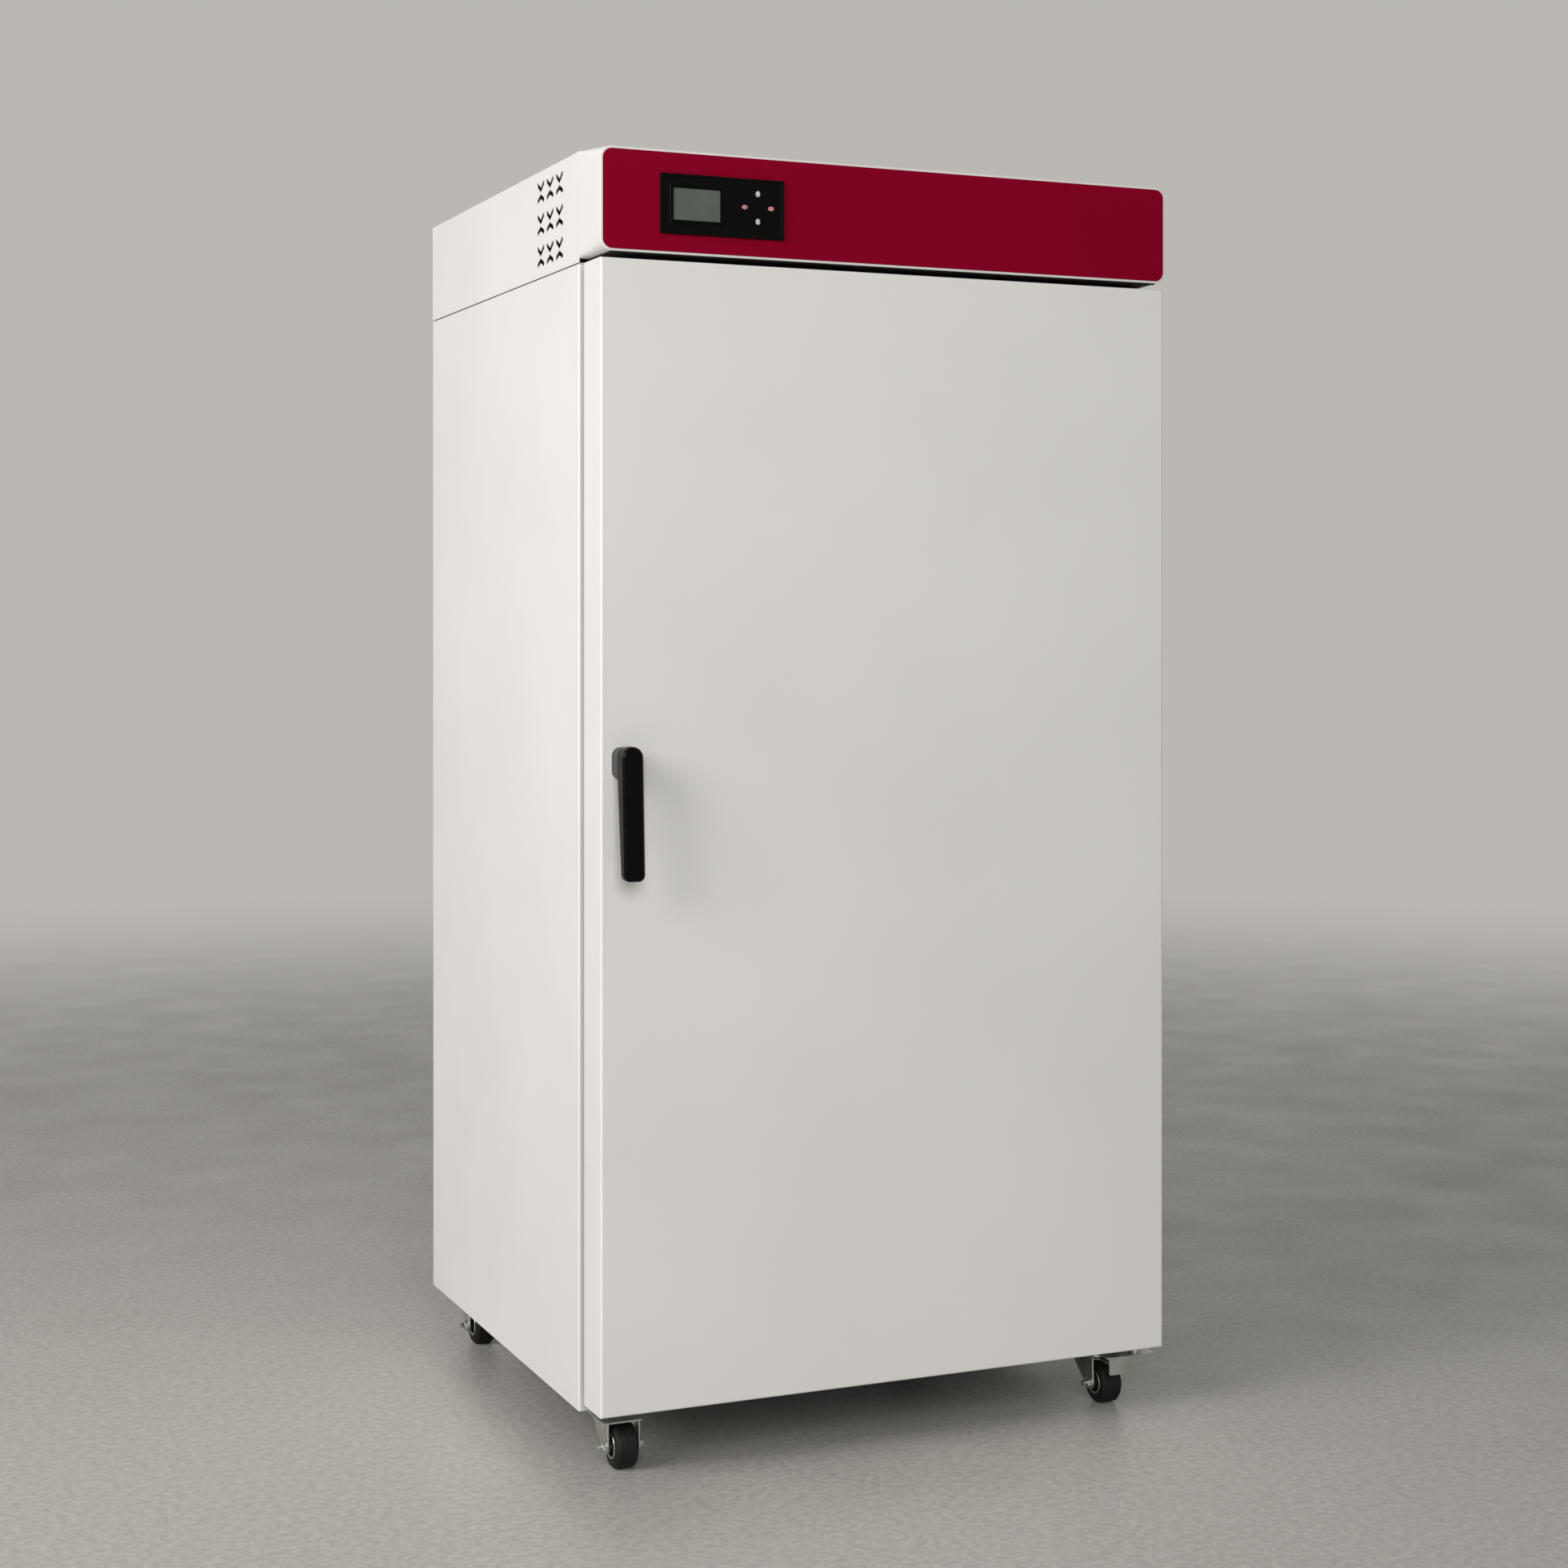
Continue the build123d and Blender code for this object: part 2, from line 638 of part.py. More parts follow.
def wire_shelf(shelf_z):
    """Shelf: a square-bar frame with a grid of wires let into it."""
    inside_w = shelf_w - 2 * shelf_bar
    inside_d = shelf_d - 2 * shelf_bar
    wire_count = int(inside_w // shelf_wire_pitch)
    mid_y = shelf_front_y + shelf_d / 2
    with BuildPart() as shelf:
        with BuildSketch(Plane.XY.offset(shelf_z)):
            with Locations((0, mid_y)):
                Rectangle(shelf_w, shelf_d)
                Rectangle(inside_w, inside_d, mode=Mode.SUBTRACT)
        extrude(amount=shelf_bar)
        with BuildSketch(Plane.XY.offset(shelf_z + shelf_bar - shelf_wire)):
            with Locations((0, mid_y)):
                with GridLocations(shelf_wire_pitch, 0, wire_count, 1):
                    Rectangle(shelf_wire, shelf_d - shelf_bar)
                with GridLocations(0, inside_d / 3, 1, 2):
                    Rectangle(shelf_w - shelf_bar, shelf_wire)
        extrude(amount=shelf_wire)
    return shelf


for number, height in enumerate(shelf_heights, start=1):
    save(wire_shelf(height), f"shelf_{number}")

# ---------------------------------------------------------------- gasket, keeper, hinge brackets
gasket_out_w = chamber_w + 2 * (gasket_in + gasket_w)
gasket_out_h = chamber_h + 2 * (gasket_in + gasket_w)
with BuildPart() as door_gasket:
    with BuildSketch(front_plane(front_y)):
        with Locations((0, chamber_mid_z)):
            RectangleRounded(gasket_out_w, gasket_out_h, gasket_r)
            RectangleRounded(gasket_out_w - 2 * gasket_w, gasket_out_h - 2 * gasket_w,
                             gasket_r - gasket_w, mode=Mode.SUBTRACT)
    extrude(amount=door_gap - part_gap)
    fillet(faces().sort_by(Axis.Y)[0].edges(), gasket_edge_r)
save(door_gasket, "door_gasket")

# Latch keeper: base on the front frame, web beside the tongue, lip in front of it
keeper_in_x = handle_x + tongue_len + keeper_gap
keeper_out_x = keeper_in_x + keeper_t
lip_back_y = tongue_y - part_gap
with BuildPart() as latch_keeper:
    with BuildSketch(Plane.XY.offset(handle_z - keeper_w / 2)):
        with BuildLine():
            Polyline(
                (keeper_out_x - keeper_lip, lip_back_y - keeper_t),
                (keeper_out_x, lip_back_y - keeper_t),
                (keeper_out_x, front_y),
                (keeper_out_x - keeper_base, front_y),
                (keeper_out_x - keeper_base, front_y - keeper_t),
                (keeper_in_x, front_y - keeper_t),
                (keeper_in_x, lip_back_y),
                (keeper_out_x - keeper_lip, lip_back_y),
                close=True,
            )
        make_face()
    extrude(amount=keeper_w)
save(latch_keeper, "latch_keeper")

# Top hinge bracket: angle on the cabinet's front, with the door's upper pivot pin
bracket_x = half_w - foot_edge - foot_w / 2
latch_foot_x = half_w - latch_foot_edge - latch_foot_w / 2
bracket_front_y = front_y - foot_reach
with BuildPart() as top_hinge_bracket:
    with Locations((bracket_x, bracket_front_y, seam_z - hinge_plate_t)):
        Box(foot_w, foot_reach, hinge_plate_t, align=BACK_UP)
    with Locations((bracket_x, front_y - hinge_plate_t, seam_z - hinge_leg)):
        Box(foot_w, hinge_plate_t, hinge_leg, align=BACK_UP)
    with BuildSketch(Plane.XY.offset(door_top_z - pin_in_door)):
        with Locations((hinge_x, hinge_y)):
            Circle(pin_r)
    extrude(amount=seam_z - door_top_z + pin_in_door)
save(top_hinge_bracket, "top_hinge_bracket")


def swivel_place(side_x, side_y):
    """Swivel axis (x, y) of the caster on that side: -1 left or front, +1 right or rear."""
    y = front_y + caster_inset_front if side_y < 0 else rear_y - caster_inset_rear
    return side_x * (half_w - caster_inset_x), y


def front_foot_sketch(side, middle_x, width, outer_cut):
    """Outline of a front bracket: a tongue under the door and a pad over the caster."""
    with BuildSketch(Plane.XY.offset(foot_low_z)) as foot:
        with Locations((middle_x, bracket_front_y)):
            Rectangle(width, foot_reach + foot_pad / 2, align=(Align.CENTER, Align.MIN))
        outer_corner = (middle_x + side * width / 2, bracket_front_y)
        chamfer(foot.sketch.vertices().sort_by_distance(outer_corner)[0], outer_cut)
        round_corners([(middle_x - side * width / 2, bracket_front_y)], foot_r)
        with Locations(swivel_place(side, -1)):
            RectangleRounded(foot_pad, foot_pad, foot_r)
    return foot.sketch


# Bottom hinge bracket: plate under the cabinet and door, with the lower pivot pin and its collar
with BuildPart() as bottom_hinge_bracket:
    extrude(front_foot_sketch(1, bracket_x, foot_w, foot_r / 2), amount=foot_t)
    with BuildSketch(Plane.XY.offset(bottom_z)):
        with Locations((hinge_x, hinge_y)):
            Circle(pin_r + collar_wall)
    extrude(amount=door_lift - part_gap)
    with BuildSketch(Plane.XY.offset(bottom_z)):
        with Locations((hinge_x, hinge_y)):
            Circle(pin_r)
    extrude(amount=door_lift + pin_in_door)
save(bottom_hinge_bracket, "bottom_hinge_bracket")

# The other three bracket plates: the left front one and the two rear pads
with BuildPart() as caster_brackets:
    extrude(front_foot_sketch(-1, -latch_foot_x, latch_foot_w, latch_foot_cut), amount=foot_t)
    with BuildSketch(Plane.XY.offset(foot_low_z)):
        with Locations(swivel_place(-1, 1), swivel_place(1, 1)):
            RectangleRounded(foot_pad, foot_pad, foot_r)
    extrude(amount=foot_t)
save(caster_brackets, "caster_brackets")

# ---------------------------------------------------------------- head
with BuildPart() as head_floor:
    with Locations((0, front_y + sheet, seam_z - sheet)):
        Box(inside_w, rear_panel_y - front_y - sheet, sheet, align=BACK_UP)
    with Locations((0, exhaust_y, seam_z)):
        Cylinder(duct_r, 4 * sheet, mode=Mode.SUBTRACT)
save(head_floor, "head_floor")

# Head cover: folded channel, open below and at the front, with an edge turned in at the rear
cover_mid_z = (seam_z + head_top_z) / 2
with BuildPart() as head_cover:
    with BuildSketch(front_plane(rear_y)):
        with Locations((0, cover_mid_z)):
            Rectangle(cabinet_w, head_h)
        round_corners([(side * half_w, head_top_z) for side in (-1, 1)], bend_r)
    extrude(amount=body_d)
    with BuildSketch(front_plane(rear_y - sheet)):
        with Locations((0, cover_mid_z - sheet)):
            Rectangle(cabinet_w - 2 * sheet, head_h)
        round_corners([(side * (half_w - sheet), head_top_z - sheet) for side in (-1, 1)], bend_r - sheet)
    extrude(amount=body_d, mode=Mode.SUBTRACT)
    with BuildSketch(front_plane(rear_y)):
        with Locations((0, cover_mid_z - rear_flange)):
            Rectangle(cabinet_w - 2 * rear_flange, head_h)
    extrude(amount=2 * sheet, mode=Mode.SUBTRACT)
    screw_holes(2 * sheet, rear_y + sheet / 2)
    with Locations((0, exhaust_y, head_top_z)):
        Cylinder(duct_r, 4 * sheet, mode=Mode.SUBTRACT)
    for side in (-1, 1):
        with BuildSketch(Plane.YZ.offset(side * half_w)):
            for group in range(vent_groups):
                top_z = head_top_z - vent_down - group * vent_pitch_z
                for row_z, rise in ((top_z, -vent_rise), (top_z - vent_row_gap, vent_arch_rise)):
                    for column in range(vent_columns):
                        apex_y = front_y + vent_front + column * vent_pitch_y
                        for end in (-1, 1):
                            stroke_angle = end * atan2(-rise, vent_half) * 180 / pi
                            stroke_place = (apex_y + end * vent_half / 2, row_z - vent_rise / 2)
                            with Locations(stroke_place):
                                SlotCenterToCenter(hypot(vent_half, rise), vent_stroke, rotation=stroke_angle)
        extrude(amount=2 * sheet, both=True, mode=Mode.SUBTRACT)
save(head_cover, "head_cover")


def shell_loft(inset, front, mode):
    """Head shell's flared form, shrunk all round by inset, from the y of its front to its back."""
    front_h = shell_top_z - shell_low_z - 2 * inset
    with BuildSketch(front_plane(front, 0, (shell_top_z + shell_low_z) / 2)) as front_end:
        RectangleRounded(cabinet_w - 2 * inset, front_h, shell_r - inset)
    back_h = head_top_z - shell_low_z - 2 * inset
    with BuildSketch(front_plane(shell_back_y, 0, (head_top_z + shell_low_z) / 2)) as back_end:
        RectangleRounded(cabinet_w - 2 * inset, back_h, shell_back_r - inset)
    loft([front_end.sketch, back_end.sketch], ruled=True, mode=mode)


can_w = panel_w - 2 * can_inset
can_h = panel_h - 2 * can_inset
with BuildPart() as head_front_shell:
    shell_loft(0.0, shell_front_y, Mode.ADD)
    shell_loft(sheet, shell_front_y + sheet, Mode.SUBTRACT)
    with Locations((panel_x, shell_front_y, panel_z)):
        Box(can_w + 2 * cutout_gap, 4 * sheet, can_h + 2 * cutout_gap, mode=Mode.SUBTRACT)
    fillet(faces().sort_by(Axis.Y)[0].outer_wire().edges(), shell_edge_r)
save(head_front_shell, "head_front_shell")

with BuildPart() as fascia_panel:
    with BuildSketch(front_plane(shell_front_y)):
        with Locations((0, (shell_top_z + shell_low_z) / 2)):
            RectangleRounded(cabinet_w - 2 * fascia_rim, shell_top_z - shell_low_z - 2 * fascia_rim,
                             shell_r - fascia_rim)
        with Locations((panel_x, panel_z)):
            Rectangle(can_w + 2 * cutout_gap, can_h + 2 * cutout_gap, mode=Mode.SUBTRACT)
    extrude(amount=fascia_t)
save(fascia_panel, "fascia_panel")

# ---------------------------------------------------------------- display panel
button_cross = (button_x, button_y)
button_places = {
    "button_up": (button_cross[0], button_cross[1] + button_step_y),
    "button_down": (button_cross[0], button_cross[1] - button_step_y),
    "button_left": (button_cross[0] - button_step_x, button_cross[1]),
    "button_right": (button_cross[0] + button_step_x, button_cross[1]),
}
recess_y = fascia_front_y - panel_proud + panel_recess


def button_outline(name, gap, mode):
    """Outline of one button's cap, with a gap round it, in a sketch on the display panel."""
    with Locations(button_places[name]):
        if name in ("button_left", "button_right"):
            Ellipse(button_w / 2 + gap, button_h / 2 + gap, mode=mode)
        else:
            Ellipse(button_h / 2 + gap, button_w / 2 + gap, mode=mode)


with BuildPart() as display_bezel:
    with BuildSketch(front_plane(fascia_front_y, panel_x, panel_z)):
        RectangleRounded(panel_w, panel_h, panel_corner)
    extrude(amount=panel_proud)
    with BuildSketch(front_plane(recess_y, panel_x, panel_z)):
        RectangleRounded(panel_w - 2 * panel_rim, panel_h - 2 * panel_rim, panel_corner / 2)
    extrude(amount=panel_proud, mode=Mode.SUBTRACT)
    with BuildSketch(front_plane(recess_y, panel_x, panel_z)):
        with Locations((screen_x, 0)):
            Rectangle(screen_w + 2 * screen_frame, screen_h + 2 * screen_frame)
    extrude(amount=panel_recess)
    with BuildSketch(front_plane(fascia_front_y + can_d, panel_x, panel_z)):
        Rectangle(can_w, can_h)
        Rectangle(can_w - 2 * can_wall, can_h - 2 * can_wall, mode=Mode.SUBTRACT)
    extrude(amount=can_d)
    with BuildSketch(front_plane(fascia_front_y, panel_x, panel_z)):
        with Locations((screen_x, 0)):
            Rectangle(screen_w, screen_h)
        for button in button_places:
            button_outline(button, button_gap, Mode.ADD)
    extrude(amount=2 * panel_proud, mode=Mode.SUBTRACT)
save(display_bezel, "display_bezel")

with BuildPart() as display_screen:
    with BuildSketch(front_plane(recess_y + screen_t, panel_x, panel_z)):
        with Locations((screen_x, 0)):
            Rectangle(screen_w, screen_h)
    extrude(amount=screen_t)
save(display_screen, "display_screen")

for button in button_places:
    with BuildPart() as button_cap:
        with BuildSketch(front_plane(recess_y - button_proud + button_len, panel_x, panel_z)):
            button_outline(button, 0.0, Mode.ADD)
        extrude(amount=button_len)
        fillet(faces().sort_by(Axis.Y)[0].edges(), button_proud / 2)
        with BuildSketch(front_plane(recess_y - button_proud + button_len, panel_x, panel_z)):
            button_outline(button, button_flange, Mode.ADD)
        extrude(amount=button_flange)
    save(button_cap, button)

# Control electronics: display board in the housing, and the power parts on the head's floor
key_board_y = recess_y - button_proud + button_len + 2 * button_travel
with BuildPart() as control_electronics:
    with BuildSketch(front_plane(key_board_y + board_t, panel_x, panel_z)):
        Rectangle(can_w - 2 * can_wall, can_h - 2 * can_wall)
    extrude(amount=board_t)
    with Locations((board_x, board_y, seam_z)):
        with GridLocations(board_w - 2 * post_inset, board_d - 2 * post_inset, 2, 2):
            Cylinder(post_r, post_h, align=(Align.CENTER, Align.CENTER, Align.MIN))
    with Locations((board_x, board_y, seam_z + post_h)):
        Box(board_w, board_d, board_t, align=(Align.CENTER, Align.CENTER, Align.MIN))
    with Locations((board_x, board_y, seam_z + post_h + board_t)):
        with GridLocations(board_w / 4, board_d / 3, 4, 3):
            Box(relay_w, relay_d, relay_h, align=(Align.CENTER, Align.CENTER, Align.MIN))
    with Locations((power_x, board_y, seam_z)):
        Box(power_w, power_d, power_h, align=(Align.CENTER, Align.CENTER, Align.MIN))
save(control_electronics, "control_electronics")

# ---------------------------------------------------------------- exhaust and cable entry
damper_z = head_top_z + damper_up
duct_len = head_top_z + exhaust_up - spigot_len - chamber_high_z
with BuildPart() as exhaust_stub:
    with Locations((0, exhaust_y, chamber_high_z)):
        Cylinder(duct_r, duct_len, align=UP)
        Cylinder(exhaust_r, duct_len + spigot_len, align=UP)
        Cylinder(duct_r - exhaust_wall, duct_len - exhaust_wall, align=UP, mode=Mode.SUBTRACT)
        Cylinder(exhaust_r - exhaust_wall, duct_len + spigot_len, align=UP, mode=Mode.SUBTRACT)
    with Locations((0, exhaust_y, damper_z)):
        Cylinder(damper_shaft_r + run_gap, 4 * exhaust_r, rotation=(0, 90, 0), mode=Mode.SUBTRACT)
save(exhaust_stub, "exhaust_stub")

damper_r = exhaust_r - exhaust_wall - part_gap
knob_x = duct_r + part_gap
with BuildPart() as exhaust_damper:
    with Locations((0, exhaust_y, damper_z)):
        Cylinder(damper_r, exhaust_wall)
    with BuildSketch(Plane.YZ.offset(-duct_r - damper_shaft_r)):
        with Locations((exhaust_y, damper_z)):
            Circle(damper_shaft_r)
    extrude(amount=duct_r + damper_shaft_r + knob_x)
    with BuildSketch(Plane.YZ.offset(knob_x)):
        with Locations((exhaust_y, damper_z)):
            Circle(knob_r)
            Rectangle(3 * knob_r, knob_r)
    extrude(amount=knob_t)
save(exhaust_damper, "exhaust_damper")

gland_inner_y = rear_panel_y - gland_nut_t
with BuildPart() as cable_gland:
    with BuildSketch(front_plane(rear_y + gland_reach, gland_x, gland_z)):
        Circle(gland_r)
    extrude(amount=rear_y + gland_reach - gland_inner_y)
    fillet(faces().sort_by(Axis.Y)[-1].edges(), gland_r / 4)
    for nut_y in (rear_panel_y, rear_y - sheet + gland_nut_t):
        with BuildSketch(front_plane(nut_y, gland_x, gland_z)):
            RegularPolygon(gland_hex_r, 6)
        extrude(amount=gland_nut_t)
    with BuildSketch(front_plane(rear_y + gland_reach, gland_x, gland_z)):
        Circle(gland_bore_r)
    extrude(amount=rear_y + gland_reach - gland_inner_y, mode=Mode.SUBTRACT)
save(cable_gland, "cable_gland")

with BuildPart() as cover_screws:
    with BuildSketch(front_plane(rear_y + screw_head_h)):
        with Locations(*screw_places()):
            Circle(screw_head_r)
    extrude(amount=screw_head_h)
    with BuildSketch(front_plane(rear_y)):
        with Locations(*screw_places()):
            Circle(screw_r)
    extrude(amount=screw_len)
save(cover_screws, "cover_screws")

# ---------------------------------------------------------------- door
bushes = ((door_bottom_z, 1), (door_top_z, -1))
with BuildPart() as door_outer_skin:
    with Locations((0, door_front_y, door_mid_z)):
        Box(door_w, door_t, door_h, align=BACK_MID)
    fillet(faces().sort_by(Axis.Y)[0].edges(), bend_r)
    with Locations((0, door_front_y + skin, door_mid_z)):
        Box(door_w - 2 * skin, door_t, door_h - 2 * skin, align=BACK_MID, mode=Mode.SUBTRACT)
    with Locations((hinge_x, hinge_y, door_bottom_z), (hinge_x, hinge_y, door_top_z)):
        Cylinder(bush_r, 4 * skin, mode=Mode.SUBTRACT)
    with BuildSketch(front_plane(door_front_y + 2 * skin, handle_x, handle_z)):
        Circle(sleeve_tube_r)
    extrude(amount=3 * skin, mode=Mode.SUBTRACT)
save(door_outer_skin, "door_outer_skin")

plug_w = chamber_w + 2 * (gasket_in - plug_gap)
plug_h = chamber_h + 2 * (gasket_in - plug_gap)
panel_front_y = door_back_y - inner_t
with BuildPart() as door_inner_panel:
    with Locations((0, panel_front_y, door_mid_z)):
        Box(door_w - 2 * skin, inner_t, door_h - 2 * skin, align=BACK_MID)
    with BuildSketch(front_plane(door_back_y + plug_d)):
        with Locations((0, chamber_mid_z)):
            RectangleRounded(plug_w, plug_h, plug_r)
    extrude(amount=plug_d)
    with BuildSketch(front_plane(door_back_y + plug_d - inner_t)):
        with Locations((0, chamber_mid_z)):
            RectangleRounded(plug_w - 2 * inner_t, plug_h - 2 * inner_t, plug_r - inner_t)
    extrude(amount=plug_d, mode=Mode.SUBTRACT)
    with BuildSketch(front_plane(door_back_y, handle_x, handle_z)):
        Circle(sleeve_tube_r)
    extrude(amount=2 * inner_t, mode=Mode.SUBTRACT)
save(door_inner_panel, "door_inner_panel")

with BuildPart() as door_insulation:
    with Locations((0, door_front_y + skin, door_mid_z)):
        Box(door_w - 2 * skin, door_wool_t, door_h - 2 * skin, align=BACK_MID)
    for face_z, inward in bushes:
        with Locations((hinge_x, hinge_y, face_z)):
            Cylinder(bush_r + 2 * bush_flange, 2 * bush_len + 2 * bush_flange, mode=Mode.SUBTRACT)
    with BuildSketch(front_plane(door_back_y, handle_x, handle_z)):
        Circle(sleeve_tube_r)
    extrude(amount=door_t, mode=Mode.SUBTRACT)
save(door_insulation, "door_insulation")

# Hinge bushes: flanged tubes in the door's lower and upper walls
with BuildPart() as door_hinge_bushes:
    for face_z, inward in bushes:
        with BuildSketch(Plane((hinge_x, hinge_y, face_z), z_dir=(0, 0, inward))):
            Circle(bush_r)
        extrude(amount=bush_len)
        with BuildSketch(Plane((hinge_x, hinge_y, face_z + inward * skin), z_dir=(0, 0, inward))):
            Circle(bush_r + bush_flange)
        extrude(amount=bush_flange)
        with Locations((hinge_x, hinge_y, face_z)):
            Cylinder(pin_r + run_gap, 3 * bush_len, mode=Mode.SUBTRACT)
save(door_hinge_bushes, "door_hinge_bushes")

# ---------------------------------------------------------------- handle and latch
boss_front_y = door_front_y - boss_d
with BuildPart() as handle_boss:
    with BuildSketch(front_plane(door_front_y, handle_x, handle_z - boss_drop)):
        RectangleRounded(boss_w, boss_h, boss_r)
    extrude(amount=boss_d)
    fillet(faces().sort_by(Axis.Y)[0].edges(), boss_edge_r)
    with BuildSketch(front_plane(door_back_y, handle_x, handle_z)):
        Circle(sleeve_tube_r)
    extrude(amount=door_t)
    with BuildSketch(front_plane(door_back_y, handle_x, handle_z)):
        Circle(spindle_r + run_gap)
    extrude(amount=door_t + boss_d, mode=Mode.SUBTRACT)
save(handle_boss, "handle_boss")

lever_back_y = boss_front_y - part_gap
lever_high_z = handle_z + lever_w / 2
lever_low_z = lever_high_z - lever_len
lever_end_y = lever_back_y - lever_t - lever_lean
with BuildPart() as handle_lever:
    with BuildSketch(front_plane(lever_back_y)):
        with Locations((handle_x, handle_z)):
            Circle(lever_w / 2)
            Rectangle(lever_w, lever_len - lever_w / 2, align=(Align.CENTER, Align.MAX))
        round_corners([(handle_x + end * lever_w / 2, lever_low_z) for end in (-1, 1)], lever_corner)
    extrude(amount=lever_t + lever_lean)
    with BuildSketch(Plane.YZ.offset(handle_x)):
        with BuildLine():
            Polyline(
                (lever_back_y, lever_high_z),
                (lever_back_y, handle_z - boss_drop - boss_h / 2),
                (lever_end_y + lever_end_t, lever_low_z),
                (lever_end_y, lever_low_z),
                (lever_back_y - lever_t, lever_high_z),
                close=True,
            )
        make_face()
    extrude(amount=lever_w, both=True, mode=Mode.INTERSECT)
    chamfer(faces().sort_by(Axis.Y)[0].edges(), lever_bevel)
    with BuildSketch(front_plane(lever_back_y, handle_x, handle_z)):
        Circle(spindle_r)
    extrude(amount=lever_t / 2, mode=Mode.SUBTRACT)
save(handle_lever, "handle_lever")

spindle_front_y = lever_back_y - lever_t / 2
with BuildPart() as latch_cam:
    with BuildSketch(front_plane(tongue_y, handle_x, handle_z)):
        Circle(spindle_r)
    extrude(amount=tongue_y - spindle_front_y)
    with BuildSketch(front_plane(tongue_y + tongue_t, handle_x, handle_z)):
        with Locations(((tongue_len - tongue_back) / 2, 0)):
            RectangleRounded(tongue_len + tongue_back, tongue_w, tongue_corner)
    extrude(amount=tongue_t)
save(latch_cam, "latch_cam")

# ---------------------------------------------------------------- casters
casters = {
    "front_left": (-1, -1),
    "front_right": (1, -1),
    "rear_left": (-1, 1),
    "rear_right": (1, 1),
}
braked = ("front_right", "rear_right")
axle_z = wheel_r

# Top plates: each with its race housing and the rivet that the fork turns on
with BuildPart() as caster_plates:
    for sides in casters.values():
        x, y = swivel_place(*sides)
        with BuildSketch(Plane((x, y, plate_low_z))):
            RectangleRounded(plate_w, plate_w, foot_r)
        extrude(amount=plate_t)
        with Locations((x, y, race_low_z)):
            Cylinder(race_r, race_h, align=UP)
        with Locations((x, y, crown_low_z - part_gap)):
            Cylinder(kingpin_r, race_low_z - crown_low_z + part_gap, align=UP)
        with Locations((x, y, crown_low_z - part_gap - kingpin_head_h)):
            Cylinder(kingpin_head_r, kingpin_head_h, align=UP)
save(caster_plates, "caster_plates")


def leg_outline(x, y):
    """Side outline of a fork leg: wide at the crown, round at the axle."""
    axle_y = y - caster_trail
    reach = hypot(caster_trail + leg_back, crown_top_z - axle_z)
    turn = atan2(crown_top_z - axle_z, caster_trail + leg_back) - acos(leg_end_r / reach)
    with BuildSketch(Plane.YZ.offset(x)) as leg:
        with BuildLine():
            Polyline(
                (y - leg_front, crown_top_z),
                (axle_y - leg_end_r, axle_z),
                (axle_y, axle_z),
                (axle_y + leg_end_r * cos(turn), axle_z + leg_end_r * sin(turn)),
                (y + leg_back, crown_top_z),
                close=True,
            )
        make_face()
        with Locations((axle_y, axle_z)):
            Circle(leg_end_r)
    return leg.sketch


def rod_along_x(x_low, x_high, y, z, radius):
    """Round rod across the caster, added to the part being built."""
    with BuildSketch(Plane.YZ.offset(x_low)) as end:
        with Locations((y, z)):
            Circle(radius)
    extrude(end.sketch, amount=x_high - x_low)


